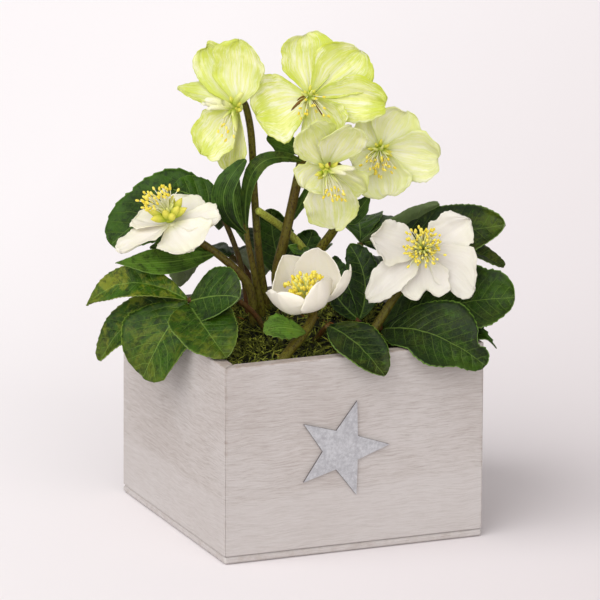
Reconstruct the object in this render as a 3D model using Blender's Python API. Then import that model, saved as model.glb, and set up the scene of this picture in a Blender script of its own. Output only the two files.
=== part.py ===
"""Hellebore plant growing in a square whitewashed wooden box with a zinc star and moss."""
import math
import random

import bmesh
import bpy
from mathutils import Matrix, Vector

MM = 0.001

# The box: four mitred boards standing on a base board
BOX_SIDE = 0.160
BOX_HEIGHT = 0.116
BOARD_THICK = 0.008
BASE_THICK = 0.004
EDGE_EASE = 0.0006
GAP = 0.0003

# The zinc star on the front board
STAR_RADIUS = 0.0293
STAR_WAIST = 0.41
STAR_THICK = 0.0012
STAR_CENTRE_X = -0.0085
STAR_CENTRE_Z = 0.0615
STAR_TURN = math.radians(-18)

# What the box is filled with
SOIL_TOP = 0.098
MOSS_RIM = 0.109
MOSS_CROWN = 0.122
MOSS_CELLS = 9
HOLE_CLEARANCE = 0.0006
HOLE_DEEPER = 2.0

# The plant's own axes are turned against the box's: right, away and up, in mm
PLANT_TURN = math.radians(22.5)

# Leaves: petiole and hub radii in mm, then the blade's thickness, cupping, wave and teeth
PETIOLE_RADIUS = 1.7
HUB_RADIUS = 2.2
BLADE_THICK = 0.0008
LEAF_CUP = 0.16
LEAF_WAVE = 0.012
LEAF_TEETH = 0.035
RIM_REST = 0.0014
RIM_FALL = 100.0

# Flowers: the small disc behind the sepals, the sepals, and the heart of pods and stamens
FLOWER_BACK = 0.0032
FLOWER_NECK = 0.0050
DISC_RADIUS = 0.0034
DISC_SQUASH = 0.42
SEPAL_THICK = 0.0008
SEPAL_CUP = 0.22
SEPAL_WAVE = 0.010
SEPAL_ROOT = 0.0012
CUPPED_LIFT = 12
CUPPED_CUP = 0.42
HEART_FORWARD = 0.0042
HEART_RADIUS = 0.0036
HEART_SQUASH = 0.80
PODS = 5
POD_LEAN = 0.0022
POD_HEIGHT = {"white": 0.0085, "green": 0.0105}
STAMENS = {"white": 12, "green": 7}
STAMEN_SPREAD = (0.0080, 0.0130)
STAMEN_HEIGHT = (0.0075, 0.0125)
GREEN_STAMEN_DROOP = 0.5

# Flowers: centre, where it looks, then each sepal's clock angle, reach, width, lift, roll
FLOWERS = {
    "flower_green_left": dict(
        centre=(-38, -3, 244), look=(-0.50, -0.80, 0.00), colour="green",
        sepals=[(324, 42, 26, -3, 8), (4, 41, 34, 3, 8), (284, 34, 20, 11, 70),
                (217, 36, 29, 5, 8), (190, 43, 22, -5, 8)]),
    "flower_green_top": dict(
        centre=(4, -6, 251), look=(-0.10, -0.95, 0.15), colour="green",
        sepals=[(355, 38, 32, 1, 8), (46, 41, 34, 2, 8), (89, 46, 27, 3, 8),
                (146, 26, 30, 0, 8), (250, 34, 40, 3, 8)]),
    "flower_green_middle": dict(
        centre=(13, -32, 216), look=(0.20, -0.85, -0.35), colour="green",
        sepals=[(338, 38, 27, 4, 8), (22, 34, 30, 5, 8), (122, 29, 21, 3, 8),
                (168, 43, 29, 2, 8), (230, 17, 26, 4, 8)]),
    "flower_green_right": dict(
        centre=(44, 2, 218), look=(0.00, -0.92, 0.05), colour="green",
        sepals=[(334, 22, 24, 2, 8), (34, 29, 31, 2, 8), (98, 36, 31, 2, 8),
                (170, 29, 33, 2, 8), (240, 18, 22, 2, 8)]),
    "flower_white_left": dict(
        centre=(-76, -10, 177), look=(-0.25, -0.25, 0.93), colour="white",
        sepals=[(28, 27, 28, 2, 8), (104, 31, 23, 2, 8), (160, 36, 33, -2, 8),
                (240, 36, 29, 0, 8), (300, 25, 25, 2, 8)]),
    "flower_white_cup": dict(
        centre=(4, -50, 139), look=(-0.24, -0.26, 0.92), colour="white",
        sepals=[(336, 20, 31, 25, 6), (38, 20, 32, 27, 6), (94, 29, 18, 20, -32),
                (136, 16, 31, 21, 6), (228, 20, 38, 20, 6)]),
    "flower_white_right": dict(
        centre=(69, -25, 164), look=(0.02, -0.85, 0.50), colour="white",
        sepals=[(284, 29, 27, 6, 8), (53, 33, 24, 5, 8), (113, 36, 29, 1, 8),
                (174, 29, 31, -2, 8), (230, 40, 21, 0, 8)]),
}

# Stalks: the route of each from the soil to the back of its flower, with its radii,
# and the bracts on it as leaflets
STALKS = {
    "stalk_green_left": dict(
        route=[(-20, 13, 91), (-20, 13, 116), (-25, 9, 150), (-28, 7, 190), (-30, 7, 225)],
        radii=(2.6, 1.9), flower="flower_green_left", bracts=[]),
    "stalk_leafy": dict(
        route=[(-23, 2, 91), (-23, 2, 116), (-27, 0, 140), (-32, -1, 166), (-34, -1, 186)],
        radii=(3.0, 1.2), flower=None,
        bracts=[
            dict(base=(-32, -1, 168), tip=(-33, -7, 214), bend=(-13, -8, 0),
                 face=(-0.6, -0.7, 0.1), width=17),
            dict(base=(-32, -1, 167), tip=(-1, 2, 211), bend=(-11, -7, 19),
                 face=(-0.4, -0.8, 0.4), width=10),
            dict(base=(-31, -1, 160), tip=(-41, 12, 206), bend=(-3, 2, 2),
                 face=(-0.5, -0.8, 0.2), width=13)]),
    "stalk_green_top": dict(
        route=[(-9, 7, 91), (-9, 7, 116), (-15, 7, 140), (-9, 6, 170), (0, 10, 213),
               (5, 10, 236)],
        radii=(3.4, 2.4), flower="flower_green_top",
        bracts=[
            dict(base=(0, 10, 213), tip=(-21, 13, 221), bend=(-1, 1, 3),
                 face=(-0.2, -0.9, -0.3), width=15),
            dict(base=(-9, 6, 172), tip=(5, 13, 198), bend=(1, 1, -1),
                 face=(0.6, -0.7, 0.2), width=7)]),
    "stalk_green_pair": dict(
        route=[(1, 5, 91), (1, 5, 120), (4, 4, 142), (10, 3, 158), (20, -2, 176),
               (24, -8, 205)],
        radii=(3.2, 2.2), flower="flower_green_middle",
        branch=[(17, 0, 170), (27, 7, 187), (40, 13, 206)], branch_flower="flower_green_right",
        bracts=[
            dict(base=(20, -2, 176), tip=(38, 4, 190), bend=(1, 1, -3),
                 face=(0.1, -0.8, 0.5), width=11)]),
    "stalk_white_left": dict(
        route=[(-28, -8, 91), (-28, -8, 112), (-30, -7, 136), (-40, -7, 150), (-60, -6, 165)],
        radii=(2.8, 2.0), flower="flower_white_left",
        bracts=[
            dict(base=(-50, -7, 158), tip=(-107, -37, 160), bend=(0, -2, -2),
                 face=(0.0, -0.70, 0.70), width=17, point=0.9),
            dict(base=(-52, -6, 159), tip=(-88, -6, 161), bend=(0, 0, 2),
                 face=(0.1, -0.3, 0.9), width=14)]),
    "stalk_white_cup": dict(
        route=[(-12, -70, 91), (-12, -70, 108), (-7, -64, 116), (0, -57, 123)],
        radii=(3.3, 2.6), flower="flower_white_cup",
        bracts=[
            dict(base=(2, -58, 125), tip=(-22, -70, 129), bend=(-1, -3, 3),
                 face=(0.1, -0.6, 0.8), width=18)]),
    "stalk_white_right": dict(
        route=[(30, -30, 91), (30, -30, 108), (40, -31, 118), (54, -22, 138), (66, -17, 152)],
        radii=(2.8, 2.1), flower="flower_white_right", bracts=[]),
    "young_shoot": dict(
        route=[(10, 23, 91), (10, 23, 116), (8, 20, 138), (1, 17, 154), (-11, 13, 168),
               (-27, -1, 183)],
        radii=(2.4, 2.2), flower=None,
        bracts=[
            dict(base=(0, 16, 156), tip=(-8, -4, 162), bend=(4, -3, -2),
                 face=(-0.4, -0.7, 0.6), width=8)]),
}

# Leaves: the route of the petiole from the soil to the hub, and the leaflets at the hub
LEAVES = {
    "leaf_front_left": dict(
        route=[(-20, -18, 91), (-20, -18, 112), (-34, -22, 132), (-55, -29, 138),
               (-66, -31, 136)],
        leaflets=[
            dict(base=(-66, -31, 137), tip=(-124, -20, 130), bend=(-4, -1, 12),
                 face=(-0.2, -0.65, 0.8), width=23, point=1.0),
            dict(base=(-66, -31, 135), tip=(-116, -24, 98), bend=(-6, 6, 6),
                 face=(-0.5, -0.6, 0.6), width=26),
            dict(base=(-66, -32, 135), tip=(-91, -44, 94), bend=(-1, -4, 4),
                 face=(-0.47, -0.70, 0.50), width=50, point=0.42),
            dict(base=(-65, -33, 135), tip=(-43, -88, 118), bend=(-3, 0, 4),
                 face=(-0.10, -0.50, 0.85), width=38),
            dict(base=(-65, -32, 136), tip=(-36, -56, 145), bend=(1, -3, 3),
                 face=(0.0, -0.80, 0.60), width=36),
            dict(base=(-66, -31, 136), tip=(-106, -8, 124), bend=(0, 0, 2),
                 face=(-0.2, -0.6, 0.8), width=15)]),
    "leaf_back_left": dict(
        route=[(-31, 17, 91), (-31, 17, 112), (-36, 20, 145), (-46, 24, 172)],
        leaflets=[
            dict(base=(-46, 24, 172), tip=(-111, 16, 157), bend=(2, 2, 14),
                 face=(-0.15, -0.70, 0.70), width=45, point=0.42),
            dict(base=(-46, 24, 172), tip=(-76, 25, 188), bend=(0, 0, 3),
                 face=(-0.1, -0.80, 0.60), width=25),
            dict(base=(-46, 25, 172), tip=(-90, 62, 150), bend=(-3, 3, 10),
                 face=(-0.3, 0.20, 0.90), width=34),
            dict(base=(-45, 25, 172), tip=(-50, 82, 150), bend=(0, 3, 12),
                 face=(-0.1, 0.40, 0.90), width=32)]),
    "leaf_back_middle": dict(
        route=[(-7, 27, 91), (-7, 27, 112), (-9, 28, 132)],
        leaflets=[
            dict(base=(-9, 28, 132), tip=(-18, 43, 172), bend=(-3, 2, 1),
                 face=(0.1, -0.9, 0.3), width=24),
            dict(base=(-9, 28, 132), tip=(6, 41, 160), bend=(2, 2, 1),
                 face=(-0.1, -0.9, 0.4), width=20),
            dict(base=(-9, 29, 132), tip=(-28, 76, 150), bend=(-2, 2, 10),
                 face=(-0.2, 0.2, 0.95), width=28),
            dict(base=(-9, 29, 132), tip=(8, 88, 134), bend=(1, 2, 10),
                 face=(0.1, 0.3, 0.95), width=30)]),
    "leaf_back_right": dict(
        route=[(20, 15, 91), (20, 15, 112), (27, 20, 136), (34, 25, 157)],
        leaflets=[
            dict(base=(34, 25, 158), tip=(79, 30, 179), bend=(1, 0, -3),
                 face=(-0.1, 0.70, 0.65), width=20),
            dict(base=(34, 25, 157), tip=(117, 14, 171), bend=(1, 0, -1),
                 face=(0.0, -0.72, 0.68), width=35, point=0.45),
            dict(base=(34, 25, 156), tip=(117, 24, 143), bend=(2, 4, 8),
                 face=(0.2, -0.3, 0.90), width=26),
            dict(base=(34, 26, 157), tip=(76, 74, 146), bend=(2, 2, 12),
                 face=(0.2, 0.3, 0.90), width=32),
            dict(base=(34, 26, 157), tip=(30, 84, 148), bend=(0, 2, 12),
                 face=(0.0, 0.4, 0.90), width=30)]),
    "leaf_right": dict(
        route=[(26, -12, 91), (26, -12, 108), (36, -20, 117), (46, -26, 119)],
        leaflets=[
            dict(base=(46, -25, 119), tip=(122, -27, 138), bend=(1, 2, 4),
                 face=(-0.1, -0.62, 0.78), width=50, point=0.40),
            dict(base=(46, -27, 119), tip=(105, -61, 107), bend=(-2, -7, 10),
                 face=(0.0, -0.65, 0.76), width=42),
            dict(base=(46, -26, 118), tip=(111, -42, 106), bend=(2, 2, 10),
                 face=(0.2, -0.75, 0.60), width=24)]),
    "leaf_front": dict(
        route=[(6, -30, 91), (6, -30, 108), (11, -43, 121), (15, -54, 128)],
        leaflets=[
            dict(base=(15, -54, 128), tip=(47, -81, 106), bend=(0, -2, 5),
                 face=(0.17, -0.53, 0.79), width=30)]),
    "leaf_inner": dict(
        route=[(18, -8, 91), (18, -8, 108), (26, -14, 116), (33, -18, 122)],
        leaflets=[
            dict(base=(33, -18, 122), tip=(27, 0, 162), bend=(6, 0, 1),
                 face=(0.1, -0.9, 0.3), width=20),
            dict(base=(33, -18, 122), tip=(17, -15, 140), bend=(-1, 0, -1),
                 face=(0.2, -0.8, 0.5), width=13),
            dict(base=(33, -17, 122), tip=(18, 6, 153), bend=(-3, 0, 1),
                 face=(0.2, -0.9, 0.3), width=16)]),
    "leaf_far_left": dict(
        route=[(-22, 37, 91), (-22, 37, 112), (-32, 48, 132), (-42, 56, 140)],
        leaflets=[
            dict(base=(-42, 56, 140), tip=(-96, 46, 126), bend=(-2, 2, 8),
                 face=(-0.2, 0.0, 0.95), width=30),
            dict(base=(-42, 56, 140), tip=(-72, 92, 112), bend=(-4, 4, 12),
                 face=(-0.3, 0.5, 0.80), width=30),
            dict(base=(-42, 56, 140), tip=(-24, 98, 116), bend=(1, 4, 10),
                 face=(0.0, 0.6, 0.80), width=26)]),
    "leaf_far_right": dict(
        route=[(16, 39, 91), (16, 39, 112), (34, 48, 128), (46, 54, 134)],
        leaflets=[
            dict(base=(46, 54, 134), tip=(94, 46, 124), bend=(2, 2, 8),
                 face=(0.2, 0.0, 0.95), width=30),
            dict(base=(46, 54, 134), tip=(76, 90, 108), bend=(4, 4, 12),
                 face=(0.3, 0.5, 0.80), width=30),
            dict(base=(46, 54, 134), tip=(40, 104, 112), bend=(0, 4, 10),
                 face=(0.0, 0.6, 0.80), width=26)]),
}


def clear_scene():
    for thing in list(bpy.data.objects):
        bpy.data.objects.remove(thing, do_unlink=True)


def seen(right, away, up):
    """A point given in the plant's axes, in mm, as a place in the box's frame."""
    flat = Matrix.Rotation(-PLANT_TURN, 3, "Z") @ Vector((right, away, up))
    return flat * MM


def pointing(right, away, up):
    """A direction given in the plant's axes, in the box's frame."""
    return seen(right, away, up).normalized()


def finish(name, colour, roughness, metallic=0.0):
    """A plain surface finish."""
    material = bpy.data.materials.new(name)
    material.use_nodes = True
    shader = material.node_tree.nodes["Principled BSDF"]
    shader.inputs["Base Color"].default_value = (*colour, 1.0)
    shader.inputs["Roughness"].default_value = roughness
    shader.inputs["Metallic"].default_value = metallic
    material.diffuse_color = (*colour, 1.0)
    return material


def place(name, mesh, material):
    body = bpy.data.objects.new(name, mesh)
    bpy.context.scene.collection.objects.link(body)
    mesh.materials.clear()
    mesh.materials.append(material)
    return body


def mesh_of(bm, name):
    mesh = bpy.data.meshes.new(name)
    bm.to_mesh(mesh)
    bm.free()
    return mesh


def applied(body):
    """The body with its modifiers applied and its place taken into its mesh."""
    bpy.context.view_layer.update()
    graph = bpy.context.evaluated_depsgraph_get()
    mesh = bpy.data.meshes.new_from_object(body.evaluated_get(graph))
    mesh.transform(body.matrix_world)
    body.modifiers.clear()
    body.data = mesh
    body.matrix_world = Matrix.Identity(4)
    return body


def fuse(name, bodies, material, operation="UNION"):
    """Join all the bodies into the first, or cut them from it, as one closed solid."""
    first = bodies[0]
    group = bpy.data.collections.new(name + "_pieces")
    for body in bodies[1:]:
        group.objects.link(body)
    step = first.modifiers.new("fuse", "BOOLEAN")
    step.operation = operation
    step.operand_type = "COLLECTION"
    step.collection = group
    step.solver = "EXACT"
    applied(first)
    for body in bodies[1:]:
        bpy.data.objects.remove(body, do_unlink=True)
    bpy.data.collections.remove(group)
    keep_largest(first.data)
    first.name = name
    first.data.materials.clear()
    first.data.materials.append(material)
    return first


def keep_largest(mesh):
    """Keep the outer skin alone: fill sealed pockets and drop loose scraps."""
    bm = bmesh.new()
    bm.from_mesh(mesh)
    bmesh.ops.triangulate(bm, faces=bm.faces)
    bmesh.ops.remove_doubles(bm, verts=bm.verts, dist=0.000002)
    bmesh.ops.dissolve_degenerate(bm, edges=bm.edges, dist=0.000002)
    islands = []
    waiting = set(bm.faces)
    while waiting:
        stack = [waiting.pop()]
        island = []
        while stack:
            face = stack.pop()
            island.append(face)
            for edge in face.edges:
                for other in edge.link_faces:
                    if other in waiting:
                        waiting.remove(other)
                        stack.append(other)
        islands.append(island)
    islands.sort(key=len, reverse=True)
    for island in islands[1:]:
        bmesh.ops.delete(bm, geom=island, context="FACES")
    loose = [vert for vert in bm.verts if not vert.link_faces]
    bmesh.ops.delete(bm, geom=loose, context="VERTS")
    bm.to_mesh(mesh)
    bm.free()


def rounded(points, share):
    """A place on the smooth curve through all the points, at a share of its length."""
    last = len(points) - 1
    step = min(int(share * last), last - 1)
    t = share * last - step
    before = points[max(step - 1, 0)]
    start = points[step]
    end = points[step + 1]
    after = points[min(step + 2, last)]
    return 0.5 * (2 * start + (end - before) * t
                  + (2 * before - 5 * start + 4 * end - after) * t ** 2
                  + (3 * start - before - 3 * end + after) * t ** 3)


def stem(name, points, start_radius, end_radius, sides=6, steps=7):
    """A tapering round stem along the smooth curve through the points, ends capped."""
    curve = bpy.data.curves.new(name, "CURVE")
    curve.dimensions = "3D"
    curve.bevel_depth = 1.0
    curve.bevel_resolution = 0
    curve.use_fill_caps = True
    ring = bpy.data.curves.new(name + "_ring", "CURVE")
    ring.dimensions = "2D"
    outline = ring.splines.new("POLY")
    outline.points.add(sides - 1)
    for turn, point in enumerate(outline.points):
        angle = math.tau * turn / sides
        point.co = (math.cos(angle), math.sin(angle), 0, 1)
    outline.use_cyclic_u = True
    ring_body = bpy.data.objects.new(name + "_ring", ring)
    curve.bevel_mode = "OBJECT"
    curve.bevel_object = ring_body
    route = curve.splines.new("POLY")
    route.points.add(steps)
    for row, point in enumerate(route.points):
        share = row / steps
        point.co = (*rounded(points, share), 1)
        point.radius = start_radius + (end_radius - start_radius) * share
    body = bpy.data.objects.new(name, curve)
    bpy.context.scene.collection.objects.link(body)
    bpy.context.view_layer.update()
    graph = bpy.context.evaluated_depsgraph_get()
    mesh = bpy.data.meshes.new_from_object(body.evaluated_get(graph))
    bpy.data.objects.remove(body)
    bpy.data.objects.remove(ring_body)
    return weld(name, mesh)


def weld(name, mesh):
    """Close the mesh at its seams and turn its faces outwards."""
    bm = bmesh.new()
    bm.from_mesh(mesh)
    bmesh.ops.remove_doubles(bm, verts=bm.verts, dist=0.000002)
    bmesh.ops.recalc_face_normals(bm, faces=bm.faces)
    bm.to_mesh(mesh)
    bm.free()
    body = bpy.data.objects.new(name, mesh)
    bpy.context.scene.collection.objects.link(body)
    return body


def ball(name, centre, radius, squash=1.0, axis=None, rows=4, sides=8):
    """A closed round body, flattened along its axis."""
    bm = bmesh.new()
    bmesh.ops.create_uvsphere(bm, u_segments=sides, v_segments=rows, radius=radius)
    bmesh.ops.scale(bm, verts=bm.verts, vec=(1, 1, squash))
    if axis is not None:
        turn = axis.to_track_quat("Z", "Y").to_matrix()
        bmesh.ops.rotate(bm, verts=bm.verts, cent=(0, 0, 0), matrix=turn)
    bmesh.ops.translate(bm, verts=bm.verts, vec=centre)
    return weld(name, mesh_of(bm, name))


def leaf_share(u, point=0.55):
    """Half width of a leaflet along its length; a higher point draws its end out longer."""
    broad = 0.52
    if u < broad:
        return 0.06 + 0.94 * math.sin(math.pi / 2 * u / broad) ** 0.9
    return 0.10 + 0.90 * math.cos(math.pi / 2 * (u - broad) / (1 - broad)) ** point


def sepal_share(u):
    """Half width of a sepal: broad beyond the middle, with a full round end."""
    broad = 0.60
    if u < broad:
        return 0.10 + 0.90 * math.sin(math.pi / 2 * u / broad)
    return 0.24 + 0.76 * math.sqrt(max(0, 1 - ((u - broad) / (1 - broad)) ** 2))


def over_rim(spot):
    """Lift a place on a leaf that would sink into the rim, so that the leaf lies over it."""
    outside = max(abs(spot.x), abs(spot.y)) - BOX_SIDE / 2
    if outside < -BOARD_THICK - RIM_REST:
        return spot
    lowest = BOX_HEIGHT + RIM_REST - RIM_FALL * max(outside, 0) ** 2
    return Vector((spot.x, spot.y, max(spot.z, lowest)))


def blade(name, base, tip, bend, face, width, share, rows, columns, cup, wave, thick, teeth=0.0):
    """A thin curved blade from base to tip, its upper side looking along face."""
    bm = bmesh.new()
    bmesh.ops.create_grid(bm, x_segments=columns, y_segments=rows, size=1)
    middle = (base + tip) / 2 + bend
    control = 2 * middle - (base + tip) / 2
    length = (tip - base).length
    for vert in bm.verts:
        v = vert.co.x
        row = round((vert.co.y + 1) / 2 * rows)
        u = 1 - (1 - row / rows) ** 1.35
        spine = (1 - u) ** 2 * base + 2 * u * (1 - u) * control + u ** 2 * tip
        along = (2 * (1 - u) * (control - base) + 2 * u * (tip - control)).normalized()
        across = along.cross(face).normalized()
        out = across.cross(along)
        half = width / 2 * share(u)
        if abs(v) > 0.99 and 0.3 < u < 0.97:
            half *= 1 + (teeth if row % 2 else -teeth)
        ripple = math.sin(u * 9 + (2 if v > 0 else 0)) * wave * v * v * u
        rise = out * (cup * half * abs(v) ** 1.6 + ripple * length)
        vert.co = over_rim(spine + across * (half * v) + rise)
    bmesh.ops.triangulate(bm, faces=bm.faces, quad_method="FIXED")
    bmesh.ops.recalc_face_normals(bm, faces=bm.faces)
    body = bpy.data.objects.new(name, mesh_of(bm, name))
    bpy.context.scene.collection.objects.link(body)
    shell = body.modifiers.new("thickness", "SOLIDIFY")
    shell.thickness = thick
    shell.offset = 0
    return applied(body)


def leaflet(name, base, tip, bend, face, width, point=0.55):
    large = width >= 22
    return blade(name, seen(*base), seen(*tip), seen(*bend), pointing(*face), width * MM,
                 lambda u: leaf_share(u, point), rows=8 if large else 6,
                 columns=2, cup=LEAF_CUP, wave=LEAF_WAVE, thick=BLADE_THICK, teeth=LEAF_TEETH)


def flower_axes(look):
    """Where the flower looks, what is up on its face, and what is to its right."""
    front = pointing(*look)
    upright = Vector((0, 0, 1)) if front.z < 0.8 else pointing(0, 1, 0)
    up = (upright - front * upright.dot(front)).normalized()
    return front, up, up.cross(front)


def make_sepals(name, flower, material):
    """The five sepals of a flower, fused to the small disc behind them."""
    front, up, right = flower_axes(flower["look"])
    centre = seen(*flower["centre"])
    bodies = [ball("disc", centre - front * 0.0006, DISC_RADIUS, squash=DISC_SQUASH,
                   axis=front, sides=6)]
    for number, (clock, reach, width, lift, roll) in enumerate(flower["sepals"]):
        angle = math.radians(clock)
        outward = up * math.cos(angle) + right * math.sin(angle)
        base = centre + outward * SEPAL_ROOT - front * 0.0004
        tip = centre + outward * reach * MM + front * lift * MM
        facing = Matrix.Rotation(math.radians(roll), 3, outward) @ front
        cup = SEPAL_CUP
        if lift > CUPPED_LIFT:
            sag = outward * 0.25 * lift * MM - front * 0.30 * lift * MM
            facing = (facing - outward * 0.8).normalized()
            cup = CUPPED_CUP
        else:
            sag = front * -(1.0 + 0.22 * max(lift, 0)) * MM
        bodies.append(blade(f"sepal_{number}", base, tip, sag, facing, width * MM, sepal_share,
                            rows=5, columns=3, cup=cup, wave=SEPAL_WAVE, thick=SEPAL_THICK))
    return fuse(name, bodies, material)


def rod(name, foot, tip, foot_radius, tip_radius, sides=3):
    """A slim straight rod, such as a filament that widens to its anther."""
    aim = tip - foot
    turn = aim.to_track_quat("Z", "Y").to_matrix().to_4x4()
    bm = bmesh.new()
    bmesh.ops.create_cone(bm, cap_ends=True, segments=sides, radius1=foot_radius,
                          radius2=tip_radius, depth=aim.length,
                          matrix=Matrix.Translation((foot + tip) / 2) @ turn)
    return weld(name, mesh_of(bm, name))


def make_centre(name, flower, material, seed):
    """The heart of the flower: seed pods in the middle, with the stamens round them."""
    front, up, right = flower_axes(flower["look"])
    centre = seen(*flower["centre"])
    draw = random.Random(seed)
    core = centre + front * HEART_FORWARD
    colour = flower["colour"]
    bodies = [ball("core", core, HEART_RADIUS, squash=HEART_SQUASH, axis=front)]
    for pod in range(PODS):
        angle = math.tau * pod / PODS
        lean = (up * math.cos(angle) + right * math.sin(angle)) * POD_LEAN
        bodies.append(rod(f"pod_{pod}", core + lean * 0.4,
                          core + lean + front * POD_HEIGHT[colour], 0.0011, 0.0006))
    for number in range(STAMENS[colour]):
        angle = math.tau * (number + draw.random() * 0.5) / STAMENS[colour]
        around = up * math.cos(angle) + right * math.sin(angle)
        spread = draw.uniform(*STAMEN_SPREAD)
        height = draw.uniform(*STAMEN_HEIGHT)
        if colour == "green":
            around = around * 0.6 - Vector((0, 0, 1)) * GREEN_STAMEN_DROOP
        tip = core + around * spread + front * height
        bodies.append(rod(f"stamen_{number}", core + around * 0.0018, tip, 0.0004, 0.0009))
    return fuse(name, bodies, material)


def make_leaf(name, leaf, material):
    """One leaf: its petiole out of the soil, and its leaflets spread from a small hub."""
    points = [seen(*point) for point in leaf["route"]]
    bodies = [stem("petiole", points, PETIOLE_RADIUS * MM, PETIOLE_RADIUS * MM,
                   steps=len(points) + 2)]
    bodies.append(ball("hub", points[-1], HUB_RADIUS * MM, rows=3, sides=6))
    for number, shape in enumerate(leaf["leaflets"]):
        bodies.append(leaflet(f"leaflet_{number}", **shape))
    return fuse(name, bodies, material)


def to_flower(route, flower_name):
    """The smooth route's points, carried on straight into the back of the flower."""
    points = [seen(*point) for point in route]
    if flower_name:
        flower = FLOWERS[flower_name]
        front = flower_axes(flower["look"])[0]
        back = seen(*flower["centre"]) - front * FLOWER_BACK
        points += [back - front * FLOWER_NECK, back]
    return points


def make_stalk(name, stalk, material):
    """One flower stalk or shoot, with its branch and its bracts."""
    thick, thin = stalk["radii"]
    points = to_flower(stalk["route"], stalk["flower"])
    bodies = [stem("stem", points, thick * MM, thin * MM, steps=len(points) + 3)]
    if "branch" in stalk:
        points = to_flower(stalk["branch"], stalk["branch_flower"])
        bodies.append(stem("branch", points, thin * MM, thin * MM))
    for number, shape in enumerate(stalk["bracts"]):
        bodies.append(leaflet(f"bract_{number}", **shape))
    return fuse(name, bodies, material)


def make_board(name, side, material):
    """One mitred wall board, standing on the base board."""
    half = BOX_SIDE / 2
    inner = half - BOARD_THICK
    low = BASE_THICK + GAP
    trim = GAP / 2
    bm = bmesh.new()
    corners = [(-half + trim, -half), (half - trim, -half), (inner - trim, -inner),
               (-inner + trim, -inner)]
    face = bm.faces.new([bm.verts.new((x, y, low)) for x, y in corners])
    lifted = bmesh.ops.extrude_face_region(bm, geom=[face])
    tops = [item for item in lifted["geom"] if isinstance(item, bmesh.types.BMVert)]
    bmesh.ops.translate(bm, verts=tops, vec=(0, 0, BOX_HEIGHT - low))
    bmesh.ops.recalc_face_normals(bm, faces=bm.faces)
    turn = Matrix.Rotation(math.radians(90 * side), 3, "Z")
    bmesh.ops.rotate(bm, verts=bm.verts, cent=(0, 0, 0), matrix=turn)
    body = place(name, mesh_of(bm, name), material)
    ease = body.modifiers.new("eased_edges", "BEVEL")
    ease.width = EDGE_EASE
    ease.segments = 1
    return applied(body)


def make_block(name, side, low, high, material, ease=0.0):
    """A square block standing between two heights, its edges eased if need be."""
    bm = bmesh.new()
    bmesh.ops.create_cube(bm, size=1)
    bmesh.ops.scale(bm, verts=bm.verts, vec=(side, side, high - low))
    bmesh.ops.translate(bm, verts=bm.verts, vec=(0, 0, (high + low) / 2))
    body = place(name, mesh_of(bm, name), material)
    if ease:
        round_off = body.modifiers.new("eased_edges", "BEVEL")
        round_off.width = ease
        round_off.segments = 1
        applied(body)
    return body


def make_star(material):
    """A five-pointed star of thin sheet, held flat against the front board."""
    bm = bmesh.new()
    ring = []
    for corner in range(10):
        angle = STAR_TURN + math.pi / 2 + math.tau * corner / 10
        radius = STAR_RADIUS * (1 if corner % 2 == 0 else STAR_WAIST)
        x = STAR_CENTRE_X + radius * math.cos(angle)
        z = STAR_CENTRE_Z + radius * math.sin(angle)
        ring.append(bm.verts.new((x, -BOX_SIDE / 2 - GAP, z)))
    sheet = bm.faces.new(ring)
    lifted = bmesh.ops.extrude_face_region(bm, geom=[sheet])
    front = [item for item in lifted["geom"] if isinstance(item, bmesh.types.BMVert)]
    bmesh.ops.translate(bm, verts=front, vec=(0, -STAR_THICK, 0))
    bmesh.ops.triangulate(bm, faces=bm.faces)
    bmesh.ops.recalc_face_normals(bm, faces=bm.faces)
    return place("star", mesh_of(bm, "star"), material)


def moss_height(x, y):
    """The mound of moss: highest at the crown of the plant, lumpy all over."""
    reach = max(abs(x), abs(y)) / (BOX_SIDE / 2)
    mound = (MOSS_CROWN - MOSS_RIM) * math.exp(-((x / 0.034) ** 2 + (y / 0.034) ** 2))
    lumps = 0.0014 * math.sin(x * 420 + 1.3) * math.cos(y * 380)
    lumps += 0.0009 * math.sin(x * 910 - y * 760)
    return MOSS_RIM + mound + lumps * (1 - 0.4 * reach)


def make_moss(material, side):
    """The moss mat: a flat underside on the soil and a lumpy top."""
    bm = bmesh.new()
    bmesh.ops.create_grid(bm, x_segments=MOSS_CELLS, y_segments=MOSS_CELLS, size=side / 2)
    bmesh.ops.triangulate(bm, faces=bm.faces, quad_method="FIXED")
    lifted = bmesh.ops.extrude_face_region(bm, geom=bm.faces)
    tops = [item for item in lifted["geom"] if isinstance(item, bmesh.types.BMVert)]
    for vert in bm.verts:
        vert.co.z = SOIL_TOP + GAP
    for vert in tops:
        vert.co.z = moss_height(vert.co.x, vert.co.y)
    top_set = set(tops)
    flat = [face for face in bm.faces if not any(vert in top_set for vert in face.verts)]
    bmesh.ops.dissolve_faces(bm, faces=flat)
    bmesh.ops.triangulate(bm, faces=bm.faces)
    bmesh.ops.recalc_face_normals(bm, faces=bm.faces)
    return place("moss_mat", mesh_of(bm, "moss_mat"), material)


def stem_holes():
    """Plain holes that the stems and petioles stand in, a little wider than they are."""
    shapes = []
    for leaf in LEAVES.values():
        points = [seen(*point) for point in leaf["route"]]
        shapes.append((points, PETIOLE_RADIUS, PETIOLE_RADIUS, len(points) + 2))
    for stalk in STALKS.values():
        points = to_flower(stalk["route"], stalk["flower"])
        shapes.append((points, *stalk["radii"], len(points) + 3))
    cutters = []
    for number, (points, thick, thin, steps) in enumerate(shapes):
        points[0] = points[0] - Vector((0, 0, HOLE_DEEPER * MM))
        cutters.append(stem(f"hole_{number}", points, thick * MM + HOLE_CLEARANCE,
                            thin * MM + HOLE_CLEARANCE, steps=steps))
    return cutters


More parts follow.
